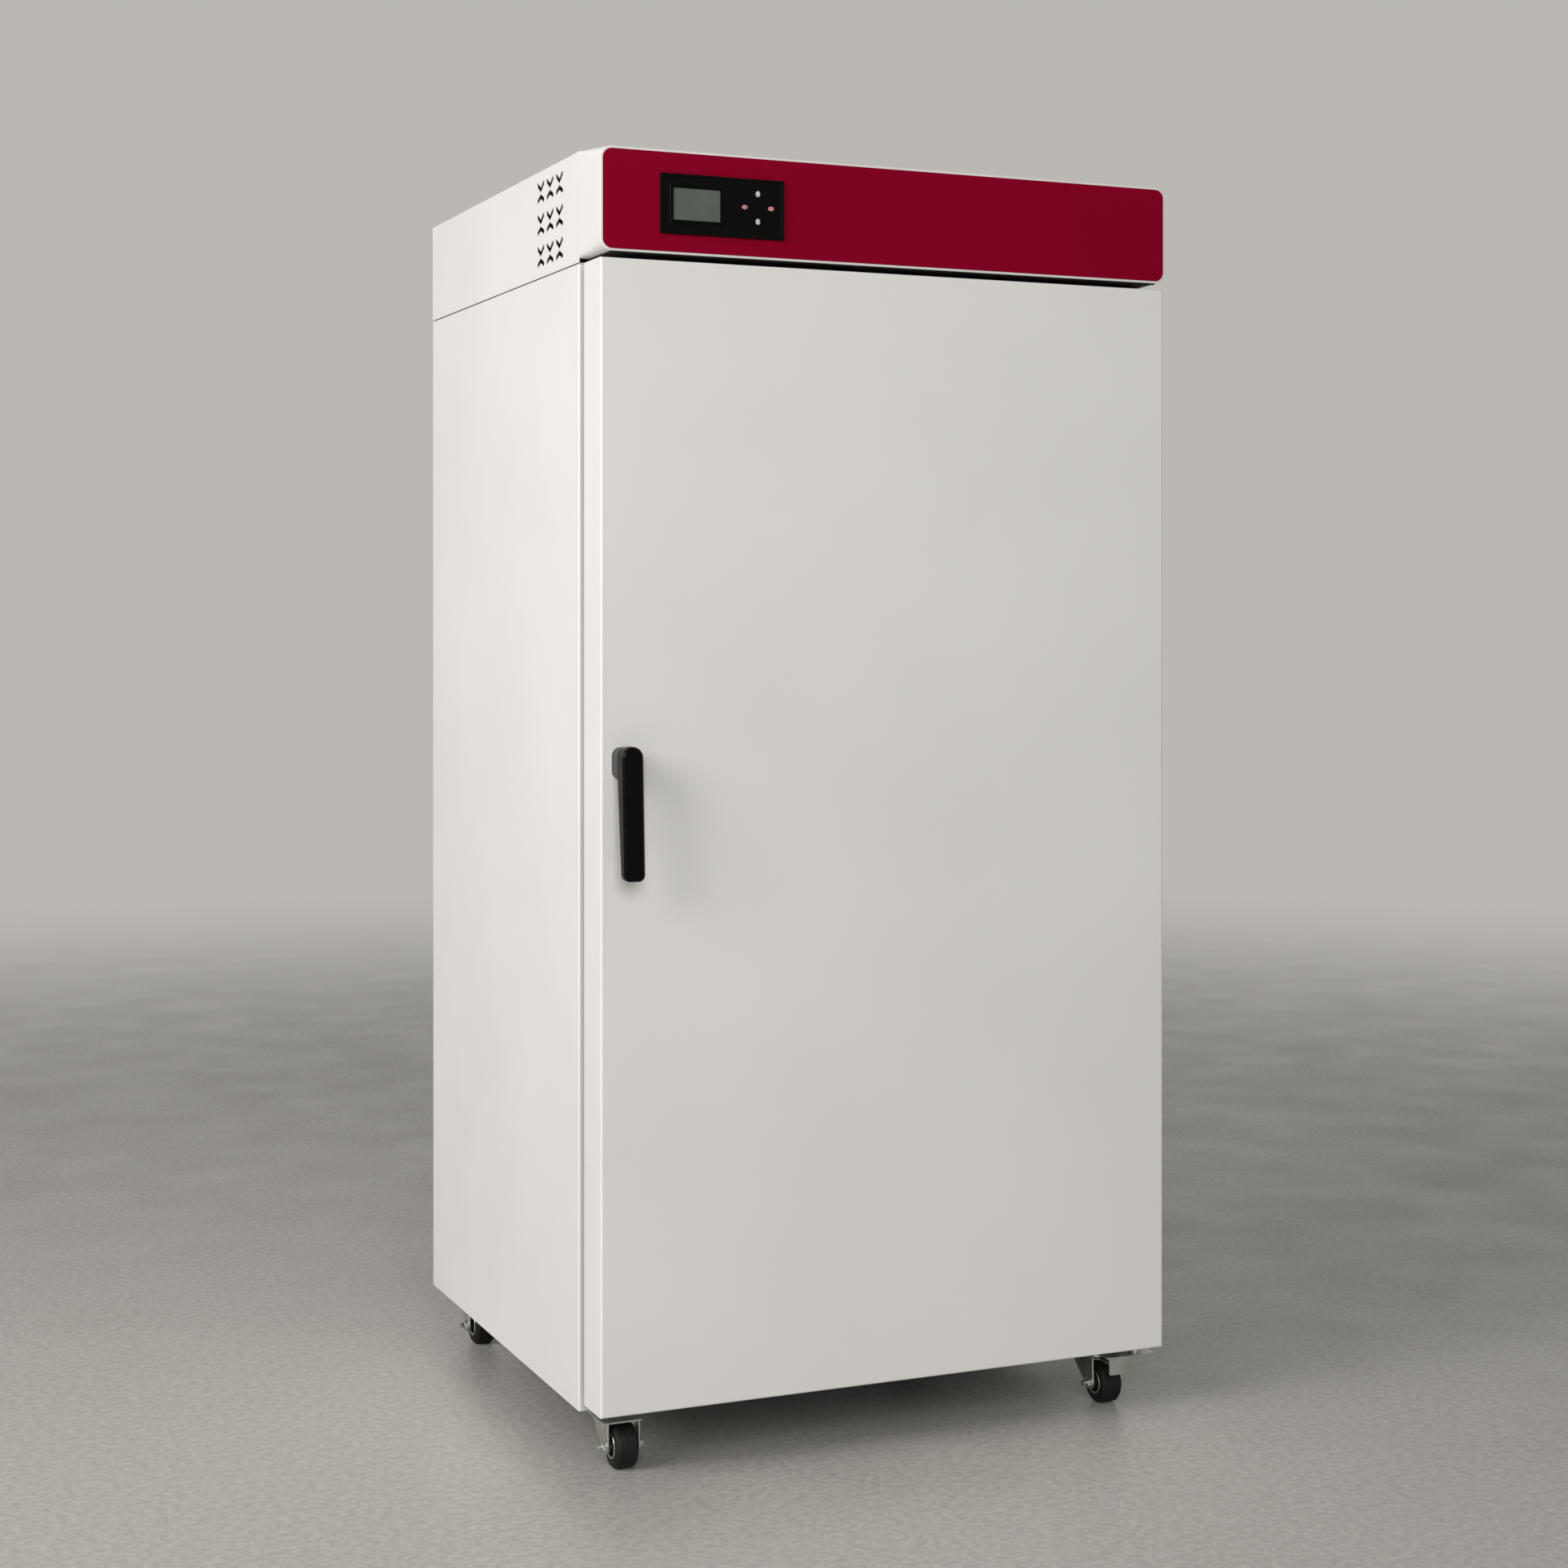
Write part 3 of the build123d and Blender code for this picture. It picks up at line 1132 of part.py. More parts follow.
leg_out = leg_x + leg_t / 2
leg_in = leg_x - leg_t / 2
for name, sides in casters.items():
    x, y = swivel_place(*sides)
    axle_y = y - caster_trail
    with BuildPart() as fork:
        with Locations((x, y, crown_low_z)):
            Cylinder(crown_r, crown_t, align=UP)
        for leg in (-leg_out, leg_in):
            extrude(leg_outline(x + leg, y), amount=leg_t)
        with Locations((x, y, crown_low_z)):
            Cylinder(kingpin_r + run_gap, 2 * crown_t, align=UP, mode=Mode.SUBTRACT)
        with BuildSketch(Plane.YZ.offset(x - leg_out)):
            with Locations((axle_y, axle_z)):
                Circle(axle_r)
            if name in braked:
                with Locations((y - pedal_pin_y, pedal_pin_z)):
                    Circle(pedal_pin_r)
        extrude(amount=2 * leg_out, mode=Mode.SUBTRACT)
    with BuildPart() as axle:
        rod_along_x(x - leg_out - axle_head_h, x + leg_out + axle_head_h, axle_y, axle_z, axle_r)
        rod_along_x(x - leg_out - axle_head_h, x - leg_out, axle_y, axle_z, axle_head_r)
        rod_along_x(x + leg_out, x + leg_out + axle_head_h, axle_y, axle_z, axle_head_r)
        fillet(faces().sort_by(Axis.X)[0].edges(), axle_head_h * 0.6)
        rod_along_x(x - leg_out - axle_head_h - axle_tip, x - leg_out, axle_y, axle_z, axle_r)
    with BuildPart() as caster_fork:
        add(fork.part)
        add(axle.part)
        if name in braked:
            rod_along_x(x - leg_out, x + leg_out, y - pedal_pin_y, pedal_pin_z, pedal_pin_r)
    save(caster_fork, f"caster_fork_{name}")

    with BuildPart() as caster_hub:
        rod_along_x(x - tyre_w / 2, x + tyre_w / 2, axle_y, axle_z, hub_r)
        for end in (-1, 1):
            with BuildSketch(Plane.YZ.offset(x + end * tyre_w / 2)):
                with Locations((axle_y, axle_z)):
                    Circle(hub_r - hub_rim)
                    Circle(hub_boss_r, mode=Mode.SUBTRACT)
            extrude(amount=-end * hub_recess, mode=Mode.SUBTRACT)
        rod_along_x(x - hub_w / 2, x + hub_w / 2, axle_y, axle_z, hub_boss_r)
        with BuildSketch(Plane.YZ.offset(x - hub_w / 2)):
            with Locations((axle_y, axle_z)):
                Circle(axle_r + run_gap)
        extrude(amount=hub_w, mode=Mode.SUBTRACT)
    save(caster_hub, f"caster_hub_{name}")

    with BuildPart() as caster_tyre:
        rod_along_x(x - tyre_w / 2, x + tyre_w / 2, axle_y, axle_z, wheel_r)
        fillet(edges().filter_by(GeomType.CIRCLE), tyre_edge_r)
        with BuildSketch(Plane.YZ.offset(x - tyre_w / 2)):
            with Locations((axle_y, axle_z)):
                Circle(hub_r)
        extrude(amount=tyre_w, mode=Mode.SUBTRACT)
        for end in (-1, 1):
            with BuildSketch(Plane.YZ.offset(x + end * tyre_groove_x - tyre_groove_w / 2)):
                with Locations((axle_y, axle_z)):
                    Circle(wheel_r)
                    Circle(wheel_r - tyre_groove_d, mode=Mode.SUBTRACT)
            extrude(amount=tyre_groove_w, mode=Mode.SUBTRACT)
    save(caster_tyre, f"caster_tyre_{name}")

# Brake pedals: barrel on the fork's pin, arm forward, flat plate turned across its end
barrel_half = leg_in - leg_gap
pedal_top_z = foot_low_z - pedal_clear
for name in braked:
    x, y = swivel_place(*casters[name])
    pin_y = y - pedal_pin_y
    plate_y = y - pedal_reach
    with BuildPart() as brake_pedal:
        rod_along_x(x - barrel_half, x + barrel_half, pin_y, pedal_pin_z, pedal_barrel_r)
        with Locations((x, plate_y, pedal_pin_z)):
            Box(pedal_arm_w, pin_y - plate_y, pedal_t, align=BACK_MID)
        with BuildSketch(front_plane(plate_y + pedal_t, x + pedal_shift, pedal_top_z - pedal_h / 2)):
            RectangleRounded(pedal_w, pedal_h, pedal_corner)
        extrude(amount=pedal_t)
        with BuildSketch(Plane.YZ.offset(x - barrel_half)):
            with Locations((pin_y, pedal_pin_z)):
                Circle(pedal_pin_r + run_gap)
        extrude(amount=2 * barrel_half, mode=Mode.SUBTRACT)
    save(brake_pedal, f"brake_pedal_{name}")
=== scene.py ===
"""Looks for the hot-air sterilizer cabinet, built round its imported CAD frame.

Metres, +Z up, the door faces -Y.  Each material is a procedural node tree in object coordinates.
"""

import json
import math

import bmesh
import bpy
from mathutils import Matrix, Vector


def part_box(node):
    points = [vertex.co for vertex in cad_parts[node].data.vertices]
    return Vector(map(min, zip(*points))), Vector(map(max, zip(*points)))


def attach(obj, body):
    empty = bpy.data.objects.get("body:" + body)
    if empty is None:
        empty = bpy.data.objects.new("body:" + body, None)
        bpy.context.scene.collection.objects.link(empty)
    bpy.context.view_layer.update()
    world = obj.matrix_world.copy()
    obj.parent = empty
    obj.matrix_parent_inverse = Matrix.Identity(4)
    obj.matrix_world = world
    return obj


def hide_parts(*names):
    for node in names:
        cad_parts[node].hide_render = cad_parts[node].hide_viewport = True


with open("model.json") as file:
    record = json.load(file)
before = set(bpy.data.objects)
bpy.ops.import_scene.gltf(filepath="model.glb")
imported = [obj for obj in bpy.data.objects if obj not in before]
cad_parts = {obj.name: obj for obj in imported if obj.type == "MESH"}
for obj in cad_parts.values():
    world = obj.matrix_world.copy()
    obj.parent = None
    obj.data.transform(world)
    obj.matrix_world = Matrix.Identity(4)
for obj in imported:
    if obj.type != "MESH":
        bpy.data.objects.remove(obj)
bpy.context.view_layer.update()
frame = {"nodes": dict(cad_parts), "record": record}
nodes = frame["nodes"]
MM = 0.001


# ---------------------------------------------------------------- materials
def srgb(red, green, blue):
    """Linear colour of an 8-bit sRGB one."""
    linear = []
    for value in (red, green, blue):
        share = value / 255.0
        linear.append(share / 12.92 if share <= 0.04045 else ((share + 0.055) / 1.055) ** 2.4)
    return (*linear, 1.0)


def new_material(name, colour, roughness, metallic=0.0, specular=0.5):
    """Material with a Principled shader; returns it with its node tree and the shader."""
    material = bpy.data.materials.new(name)
    material.use_nodes = True
    tree = material.node_tree
    shader = tree.nodes["Principled BSDF"]
    shader.inputs["Base Color"].default_value = colour
    shader.inputs["Roughness"].default_value = roughness
    shader.inputs["Metallic"].default_value = metallic
    shader.inputs["Specular IOR Level"].default_value = specular
    return material, tree, shader


def noise(tree, scale, detail=3.0, stretch=(1.0, 1.0, 1.0)):
    """Noise texture in object coordinates; returns its value socket."""
    coords = tree.nodes.new("ShaderNodeTexCoord")
    mapping = tree.nodes.new("ShaderNodeMapping")
    mapping.inputs["Scale"].default_value = stretch
    texture = tree.nodes.new("ShaderNodeTexNoise")
    texture.inputs["Scale"].default_value = scale
    texture.inputs["Detail"].default_value = detail
    tree.links.new(coords.outputs["Object"], mapping.inputs["Vector"])
    tree.links.new(mapping.outputs["Vector"], texture.inputs["Vector"])
    return texture.outputs["Fac"]


def vary_colour(tree, shader, factor, low, high):
    """Base colour between two colours, by a noise value."""
    ramp = tree.nodes.new("ShaderNodeValToRGB")
    first, last = ramp.color_ramp.elements
    first.position, first.color = 0.35, low
    last.position, last.color = 0.65, high
    tree.links.new(factor, ramp.inputs["Fac"])
    tree.links.new(ramp.outputs["Color"], shader.inputs["Base Color"])


def vary_roughness(tree, shader, factor, low, high):
    """Roughness between two values, by a noise value."""
    span = tree.nodes.new("ShaderNodeMapRange")
    span.inputs["From Min"].default_value = 0.3
    span.inputs["From Max"].default_value = 0.7
    span.inputs["To Min"].default_value = low
    span.inputs["To Max"].default_value = high
    tree.links.new(factor, span.inputs["Value"])
    tree.links.new(span.outputs["Result"], shader.inputs["Roughness"])


def add_bump(tree, shader, factor, strength, distance, edge=0.0):
    """Small relief from a noise value, over edges that look rounded to a radius."""
    bump = tree.nodes.new("ShaderNodeBump")
    if edge:
        rounded = tree.nodes.new("ShaderNodeBevel")
        rounded.samples = 6
        rounded.inputs["Radius"].default_value = edge
        tree.links.new(rounded.outputs["Normal"], bump.inputs["Normal"])
    bump.inputs["Strength"].default_value = strength
    bump.inputs["Distance"].default_value = distance
    tree.links.new(factor, bump.inputs["Height"])
    tree.links.new(bump.outputs["Normal"], shader.inputs["Normal"])


def shade(colour, share):
    """The colour made darker or lighter by a factor."""
    return (*(min(1.0, channel * share) for channel in colour[:3]), 1.0)


def powder_coat(name, colour, roughness=0.42, specular=0.35):
    """Baked powder paint: fine orange peel, faint clouding of colour and gloss."""
    material, tree, shader = new_material(name, colour, roughness, specular=specular)
    vary_colour(tree, shader, noise(tree, 3.0), shade(colour, 0.97), shade(colour, 1.015))
    vary_roughness(tree, shader, noise(tree, 14.0), roughness - 0.06, roughness + 0.06)
    add_bump(tree, shader, noise(tree, 620.0), strength=0.16, distance=0.2 * MM, edge=1.1 * MM)
    return material


def brushed_steel(name, colour, roughness, stretch):
    """Stainless sheet with a grain along one direction."""
    material, tree, shader = new_material(name, colour, roughness, metallic=1.0)
    grain = noise(tree, 60.0, detail=4.0, stretch=stretch)
    vary_colour(tree, shader, grain, shade(colour, 0.86), shade(colour, 1.08))
    vary_roughness(tree, shader, grain, roughness - 0.08, roughness + 0.10)
    add_bump(tree, shader, grain, strength=0.12, distance=0.1 * MM)
    return material


def zinc_plate(name, colour, roughness=0.32):
    """Metal plating: a cloudy colour, faintly yellow where it is darker, with dull patches."""
    material, tree, shader = new_material(name, colour, roughness, metallic=1.0)
    cloud = noise(tree, 55.0)
    warm = (colour[0] * 1.02, colour[1] * 0.98, colour[2] * 0.90, 1.0)
    vary_colour(tree, shader, cloud, shade(warm, 0.82), shade(colour, 1.10))
    vary_roughness(tree, shader, noise(tree, 120.0), roughness - 0.06, roughness + 0.12)
    add_bump(tree, shader, noise(tree, 900.0), strength=0.10, distance=0.1 * MM, edge=0.6 * MM)
    return material


def moulded(name, colour, roughness, grain_scale=700.0, relief=0.15, specular=0.4, spread=0.12):
    """Moulded plastic or rubber: fine skin texture, slightly uneven colour."""
    material, tree, shader = new_material(name, colour, roughness, specular=specular)
    vary_colour(tree, shader, noise(tree, 35.0), shade(colour, 1.0 - spread), shade(colour, 1.0 + spread))
    vary_roughness(tree, shader, noise(tree, 90.0), max(0.03, roughness - 0.05), roughness + 0.07)
    add_bump(tree, shader, noise(tree, grain_scale), relief, distance=0.15 * MM, edge=0.8 * MM)
    return material


def mineral_wool(name, colour):
    """Matted fibre: coarse and fine clumps."""
    material, tree, shader = new_material(name, colour, roughness=0.95, specular=0.1)
    clumps = noise(tree, 120.0, detail=8.0, stretch=(1.0, 1.0, 3.0))
    vary_colour(tree, shader, clumps, shade(colour, 0.65), shade(colour, 1.2))
    add_bump(tree, shader, clumps, strength=0.6, distance=2.0 * MM)
    return material


def screen_material(name, colour):
    """Unlit display behind its window: greenish grey, slightly uneven."""
    material, tree, shader = new_material(name, colour, roughness=0.22, specular=0.25)
    vary_colour(tree, shader, noise(tree, 18.0, detail=2.0), shade(colour, 0.93), shade(colour, 1.07))
    return material


WHITE = srgb(240, 238, 235)
MATERIALS = {
    "white_coat": powder_coat("white_coat", WHITE),
    # grey paint of the front frame and base tray, partly real grey paint and partly painted shade: made darker
    # so the door gap and the underside read as shaded
    "grey_coat": powder_coat("grey_coat", srgb(122, 120, 118), 0.5, 0.2),
    "crimson_coat": powder_coat("crimson_coat", srgb(142, 0, 37), 0.42, 0.05),
    "stainless": brushed_steel("stainless", srgb(205, 204, 202), 0.34, (1.0, 12.0, 12.0)),
    "heater_steel": zinc_plate("heater_steel", srgb(120, 112, 104), 0.5),
    "zinc": zinc_plate("zinc", srgb(196, 198, 196)),
    "dark_metal": moulded("dark_metal", srgb(90, 94, 97), 0.5, 500.0),
    "wool": mineral_wool("wool", srgb(196, 186, 150)),
    "silicone": moulded("silicone", srgb(150, 150, 148), 0.62),
    "black_gloss": moulded("black_gloss", srgb(5, 5, 6), 0.24, 260.0, 0.05, 0.09),
    "black_plastic": moulded("black_plastic", srgb(16, 16, 17), 0.55, specular=0.2),
    "screen_grey": screen_material("screen_grey", srgb(94, 101, 95)),
    "board_green": moulded("board_green", srgb(26, 92, 52), 0.45, 300.0, 0.05),
    "grey_boss": moulded("grey_boss", srgb(62, 62, 64), 0.48),
    "brass_bush": zinc_plate("brass_bush", srgb(200, 165, 96), 0.35),
    "button_grey": moulded("button_grey", srgb(205, 205, 205), 0.4, 400.0, 0.05),
    "button_pink": moulded("button_pink", srgb(205, 138, 148), 0.4, 400.0, 0.05),
    "tyre_black": moulded("tyre_black", srgb(28, 26, 23), 0.62, 800.0, 0.3, 0.25, 0.25),
    "hub_plastic": moulded("hub_plastic", srgb(30, 30, 31), 0.5),
}

for row in frame["record"]["subparts"]:
    mesh = nodes[row["node"]].data
    mesh.materials.clear()
    mesh.materials.append(MATERIALS[row["material_slot"]])


# ---------------------------------------------------------------- extra pieces
SHARP = math.radians(38.0)
CASTERS = ("front_left", "front_right", "rear_left", "rear_right")
TURNED = Matrix.Rotation(math.radians(90.0), 4, "Y")         # local Z along world X
FACING_FRONT = Matrix.Rotation(math.radians(90.0), 4, "X")   # local Z towards the front
FACING_REAR = Matrix.Rotation(math.radians(-90.0), 4, "X")   # towards the rear
FACING_DOWN = Matrix.Rotation(math.radians(180.0), 4, "X")   # down


def corners(node):
    """Lowest and highest corner of a CAD node."""
    low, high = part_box(node)
    return Vector(low), Vector(high)


def make_piece(name, bm, body, slot, stands_for=()):
    """Finishes a mesh as a piece that rides on a body, with smooth faces and sharp edges."""
    bmesh.ops.recalc_face_normals(bm, faces=bm.faces)
    for edge in bm.edges:
        edge.smooth = edge.is_manifold and edge.calc_face_angle(0.0) < SHARP
    for face in bm.faces:
        face.smooth = True
    mesh = bpy.data.meshes.new(name)
    bm.to_mesh(mesh)
    bm.free()
    mesh.materials.append(MATERIALS[slot])
    piece = bpy.data.objects.new(name, mesh)
    bpy.context.collection.objects.link(piece)
    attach(piece, body)
    if stands_for:
        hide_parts(*stands_for)


def ring_of(bm, radius, height, matrix, steps):
    """Circle of vertices at a height on the local Z axis."""
    ring = []
    for step in range(steps):
        turn = 2.0 * math.pi * step / steps
        place = Vector((radius * math.cos(turn), radius * math.sin(turn), height))
        ring.append(bm.verts.new(matrix @ place))
    return ring


def join_rings(bm, lower, upper):
    """Band of faces between two rings of as many vertices."""
    steps = len(lower)
    for step in range(steps):
        after = (step + 1) % steps
        bm.faces.new((lower[step], lower[after], upper[after], upper[step]))


def lathe(bm, profile, matrix, steps=48, hollow=False):
    """Turned solid from (radius, height) points along local Z; hollow joins its last point to its first."""
    rings = [ring_of(bm, radius, height, matrix, steps) for radius, height in profile]
    for lower, upper in zip(rings, rings[1:]):
        join_rings(bm, lower, upper)
    if hollow:
        join_rings(bm, rings[-1], rings[0])
    else:
        bm.faces.new(rings[0])
        bm.faces.new(rings[-1])


def rod(bm, start, end, radius, steps=12):
    """Round bar between two points, with slightly rounded ends."""
    start, end = Vector(start), Vector(end)
    length = (end - start).length
    matrix = Matrix.Translation(start) @ (end - start).to_track_quat("Z", "Y").to_matrix().to_4x4()
    edge = 0.25 * radius
    profile = [(radius - edge, 0.0), (radius, edge), (radius, length - edge), (radius - edge, length)]
    lathe(bm, profile, matrix, steps)


def hex_head(bm, matrix, corner, height, washer):
    """Hexagon bolt head on a thin washer; local Z points out of the surface."""
    thick = 0.2 * height
    lathe(bm, [(washer, 0.0), (washer, 0.8 * thick), (washer - 0.2 * thick, thick)], matrix, 32)
    lathe(bm, [(corner, thick), (corner, 0.8 * height), (0.88 * corner, height)], matrix, 6)


CROSS_RINGS = (0.12, 0.3, 0.5, 0.58, 0.8, 0.95, 1.0)
CROSS_STEPS = 24


def cross_screw(bm, matrix, radius, height):
    """Pan head with a cross recess; local Z points out of the surface."""
    rings = [ring_of(bm, radius, 0.0, matrix, CROSS_STEPS)]
    for share in reversed(CROSS_RINGS):
        ring = []
        for step in range(CROSS_STEPS):
            turn = 2.0 * math.pi * step / CROSS_STEPS
            off_arm = abs((step + 3) % 6 - 3)
            level = height * (1.0 - 0.55 * share ** 4)
            if share <= 0.5 and (off_arm == 0 or share <= 0.12):
                level = 0.35 * height
            place = Vector((radius * share * math.cos(turn), radius * share * math.sin(turn), level))
            ring.append(bm.verts.new(matrix @ place))
        rings.append(ring)
    for lower, upper in zip(rings, rings[1:]):
        join_rings(bm, lower, upper)
    bm.faces.new(rings[0])
    bm.faces.new(rings[-1])


def solids_of(node):
    """Corners of each separate solid of a CAD node."""
    bm = bmesh.new()
    bm.from_mesh(nodes[node].data)
    bmesh.ops.remove_doubles(bm, verts=bm.verts, dist=0.01 * MM)
    waiting = set(bm.verts)
    found = []
    while waiting:
        group = [waiting.pop()]
        for vert in group:
            for edge in vert.link_edges:
                other = edge.other_vert(vert)
                if other in waiting:
                    waiting.remove(other)
                    group.append(other)
        places = [vert.co.copy() for vert in group]
        low = Vector(min(place[axis] for place in places) for axis in range(3))
        high = Vector(max(place[axis] for place in places) for axis in range(3))
        found.append((low, high))
    bm.free()
    return sorted(found, key=lambda pair: tuple(pair[0]))


def rear_screws():
    """Cross-head screws of the rear covers, in place of the plain ones."""
    bm = bmesh.new()
    head_h = 1.8 * MM
    for low, high in solids_of("cover_screws"):
        centre = (low + high) / 2
        radius = (high.x - low.x) / 2
        place = Matrix.Translation((centre.x, high.y - head_h, centre.z))
        cross_screw(bm, place @ FACING_REAR, radius, head_h)
        rod(bm, (centre.x, high.y - head_h, centre.z), (centre.x, low.y, centre.z), radius / 2)
    make_piece("rear_screws", bm, "cabinet", "zinc", ("cover_screws",))


rear_screws()


def wire_shelf(node):
    """Shelf of round wire, in place of the square one: a frame, wires and two cross wires under them."""
    low, high = corners(node)
    bar_r = (high.z - low.z) / 2
    wire_r, pitch = 1.6 * MM, 24.0 * MM
    bar_z = (low.z + high.z) / 2
    wire_z = high.z - wire_r
    inner_low, inner_high = low + Vector((bar_r,) * 3), high - Vector((bar_r,) * 3)
    bm = bmesh.new()
    for y in (inner_low.y, inner_high.y):
        rod(bm, (low.x, y, bar_z), (high.x, y, bar_z), bar_r, 16)
    for x in (inner_low.x, inner_high.x):
        rod(bm, (x, low.y, bar_z), (x, high.y, bar_z), bar_r, 16)
    count = int((inner_high.x - inner_low.x) // pitch)
    for step in range(count):
        x = (low.x + high.x) / 2 + (step - (count - 1) / 2) * pitch
        rod(bm, (x, inner_low.y, wire_z), (x, inner_high.y, wire_z), wire_r, 10)
    for share in (1 / 3, 2 / 3):
        y = low.y + (high.y - low.y) * share
        rod(bm, (inner_low.x, y, wire_z - 2 * wire_r), (inner_high.x, y, wire_z - 2 * wire_r), wire_r, 10)
    make_piece("wire_" + node, bm, "cabinet", "stainless", (node,))


for number in range(1, 5):
    wire_shelf(f"shelf_{number}")


# Casters
LEG_T = 2.5 * MM             # sheet of a fork leg
LEG_GAP = 0.5 * MM           # hub to a leg
LEG_ROUND = 10.0 * MM        # radius of a leg's round end, about the axle
BEAD_R = 1.5 * MM            # radius of a leg's rolled edges
BEAD_SINK = 0.6              # share of that radius that lies inside the round end
BEAD_FRONT = 7.0 * MM        # front edge's top, ahead of the axle
BEAD_BACK = 57.5 * MM        # back edge's top, behind the axle

BORE_SLOPE_OUT = 1.2 * MM    # slope from the tyre's bore to its side, away from the axle
BORE_SLOPE_IN = 1.0 * MM     # the same slope, along the axle
SHOULDER = (                 # tyre's shoulder in mm, as (below the tread, in from the side)
    (5.4, 0.0), (5.0, 0.5), (3.0, 1.0), (1.9, 2.2), (1.5, 3.4), (0.3, 3.8), (0.0, 4.4),
)
GROOVES = (                  # tread's grooves in mm, as (below the tread, left of the middle)
    (0.0, 8.0), (0.8, 7.6), (0.8, 6.4), (0.0, 6.0), (0.0, 1.0), (0.7, 0.6),
)


def tyre_profile(bore, radius, half):
    """Section of the tyre as (radius, along the axle): bore, left side, tread, right side."""
    side = [(bore, -half + BORE_SLOPE_IN), (bore + BORE_SLOPE_OUT, -half)]
    side += [(radius - below * MM, -half + inward * MM) for below, inward in SHOULDER]
    side += [(radius - below * MM, -left * MM) for below, left in GROOVES]
    return side + [(r, -along) for r, along in reversed(side)]


def tyre(name, bore, radius, half, turned):
    """Tyre with stepped shoulders and grooves, in place of the plain one."""
    bm = bmesh.new()
    lathe(bm, tyre_profile(bore, radius, half), turned, 96, hollow=True)
    make_piece("tyre_" + name, bm, "wheel_" + name, "tyre_black", ("caster_tyre_" + name,))


def dust_rings(name, bore, half, turned):
    """Bright ring in the hub's recess on both sides, standing a little proud of the tyre."""
    edge, proud, depth = 0.8 * MM, 0.6 * MM, 4.0 * MM
    outer_gap, inner_gap = 0.6 * MM, 3.4 * MM
    outer, inner = bore - outer_gap, bore - inner_gap
    bm = bmesh.new()
    for side in (-1, 1):
        face, back = side * (half + proud), side * (half - depth)
        bevel = face - side * edge
        profile = [(inner, back), (inner, bevel), (inner + edge, face),
                   (outer - edge, face), (outer, bevel), (outer, back)]
        lathe(bm, profile, turned, 64, hollow=True)
    make_piece("dust_rings_" + name, bm, "wheel_" + name, "zinc")


def axle_nuts(name, axle, leg_out):
    """Hexagon nut on a washer at both ends of the axle."""
    nut_corner, nut_h, washer_r = 6.9 * MM, 4.6 * MM, 8.0 * MM
    bm = bmesh.new()
    for side in (-1, 1):
        place = Matrix.Translation((axle.x + side * leg_out, axle.y, axle.z))
        outward = Matrix.Rotation(math.radians(side * 90.0), 4, "Y")
        hex_head(bm, place @ outward, nut_corner, nut_h, washer_r)
    make_piece("axle_nuts_" + name, bm, "swivel_" + name, "zinc")


def fork_beads(name, axle, leg_out):
    """Rolled edges down the front and the back of both fork legs."""
    fork_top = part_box("caster_fork_" + name)[1][2]
    end_r = LEG_ROUND - BEAD_SINK * BEAD_R
    rise = fork_top - BEAD_R - axle.z
    turn = math.atan2(rise, BEAD_BACK) - math.acos(end_r / math.hypot(rise, BEAD_BACK))
    bm = bmesh.new()
    for side in (-1, 1):
        x = axle.x + side * (leg_out - LEG_T / 2)
        foot = (x, axle.y + end_r * math.cos(turn), axle.z + end_r * math.sin(turn))
        front_top, back_top = (x, axle.y - BEAD_FRONT, axle.z + rise), (x, axle.y + BEAD_BACK, axle.z + rise)
        rod(bm, back_top, foot, BEAD_R, 10)
        rod(bm, front_top, (x, axle.y - end_r, axle.z), BEAD_R, 10)
    make_piece("fork_beads_" + name, bm, "swivel_" + name, "zinc")


def caster_details(name):
    """Everything that dresses one caster."""
    low, high = corners("caster_tyre_" + name)
    hub_low, hub_high = corners("caster_hub_" + name)
    axle = (low + high) / 2
    turned = Matrix.Translation(axle) @ TURNED
    radius, half = (high.z - low.z) / 2, (high.x - low.x) / 2
    bore = (hub_high.z - hub_low.z) / 2
    leg_out = (hub_high.x - hub_low.x) / 2 + LEG_GAP + LEG_T
    tyre(name, bore, radius, half, turned)
    dust_rings(name, bore, half, turned)
    axle_nuts(name, axle, leg_out)
    fork_beads(name, axle, leg_out)


for name in CASTERS:
    caster_details(name)


def plate_bolts():
    """Four hexagon bolts under each caster's top plate."""
    plate_t, inset = 2.5 * MM, 24.5 * MM
    bolt_corner, bolt_h, washer_r = 5.4 * MM, 3.4 * MM, 6.4 * MM
    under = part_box("caster_plates")[1][2] - plate_t
    bm = bmesh.new()
    for low, high in solids_of("caster_plates"):
        centre = (low + high) / 2
        for x in (-inset, inset):
            for y in (-inset, inset):
                place = Matrix.Translation((centre.x + x, centre.y + y, under))
                hex_head(bm, place @ FACING_DOWN, bolt_corner, bolt_h, washer_r)
    make_piece("plate_bolts", bm, "cabinet", "zinc")


plate_bolts()


# Screws inside
def door_screws():
    """Cross-head screws down both edges of the door's inner panel, heads to the chamber."""
    low, high = corners("door_inner_panel")
    back_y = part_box("door_outer_skin")[1][1]
    inset, end_gap, rows = 16.0 * MM, 45.0 * MM, 8
    head_r, head_h = 3.8 * MM, 1.7 * MM
    bm = bmesh.new()
    for row in range(rows):
        z = low.z + end_gap + (high.z - low.z - 2 * end_gap) * row / (rows - 1)
        for x in (low.x + inset, high.x - inset):
            cross_screw(bm, Matrix.Translation((x, back_y, z)) @ FACING_REAR, head_r, head_h)
    make_piece("door_screws", bm, "door", "zinc")


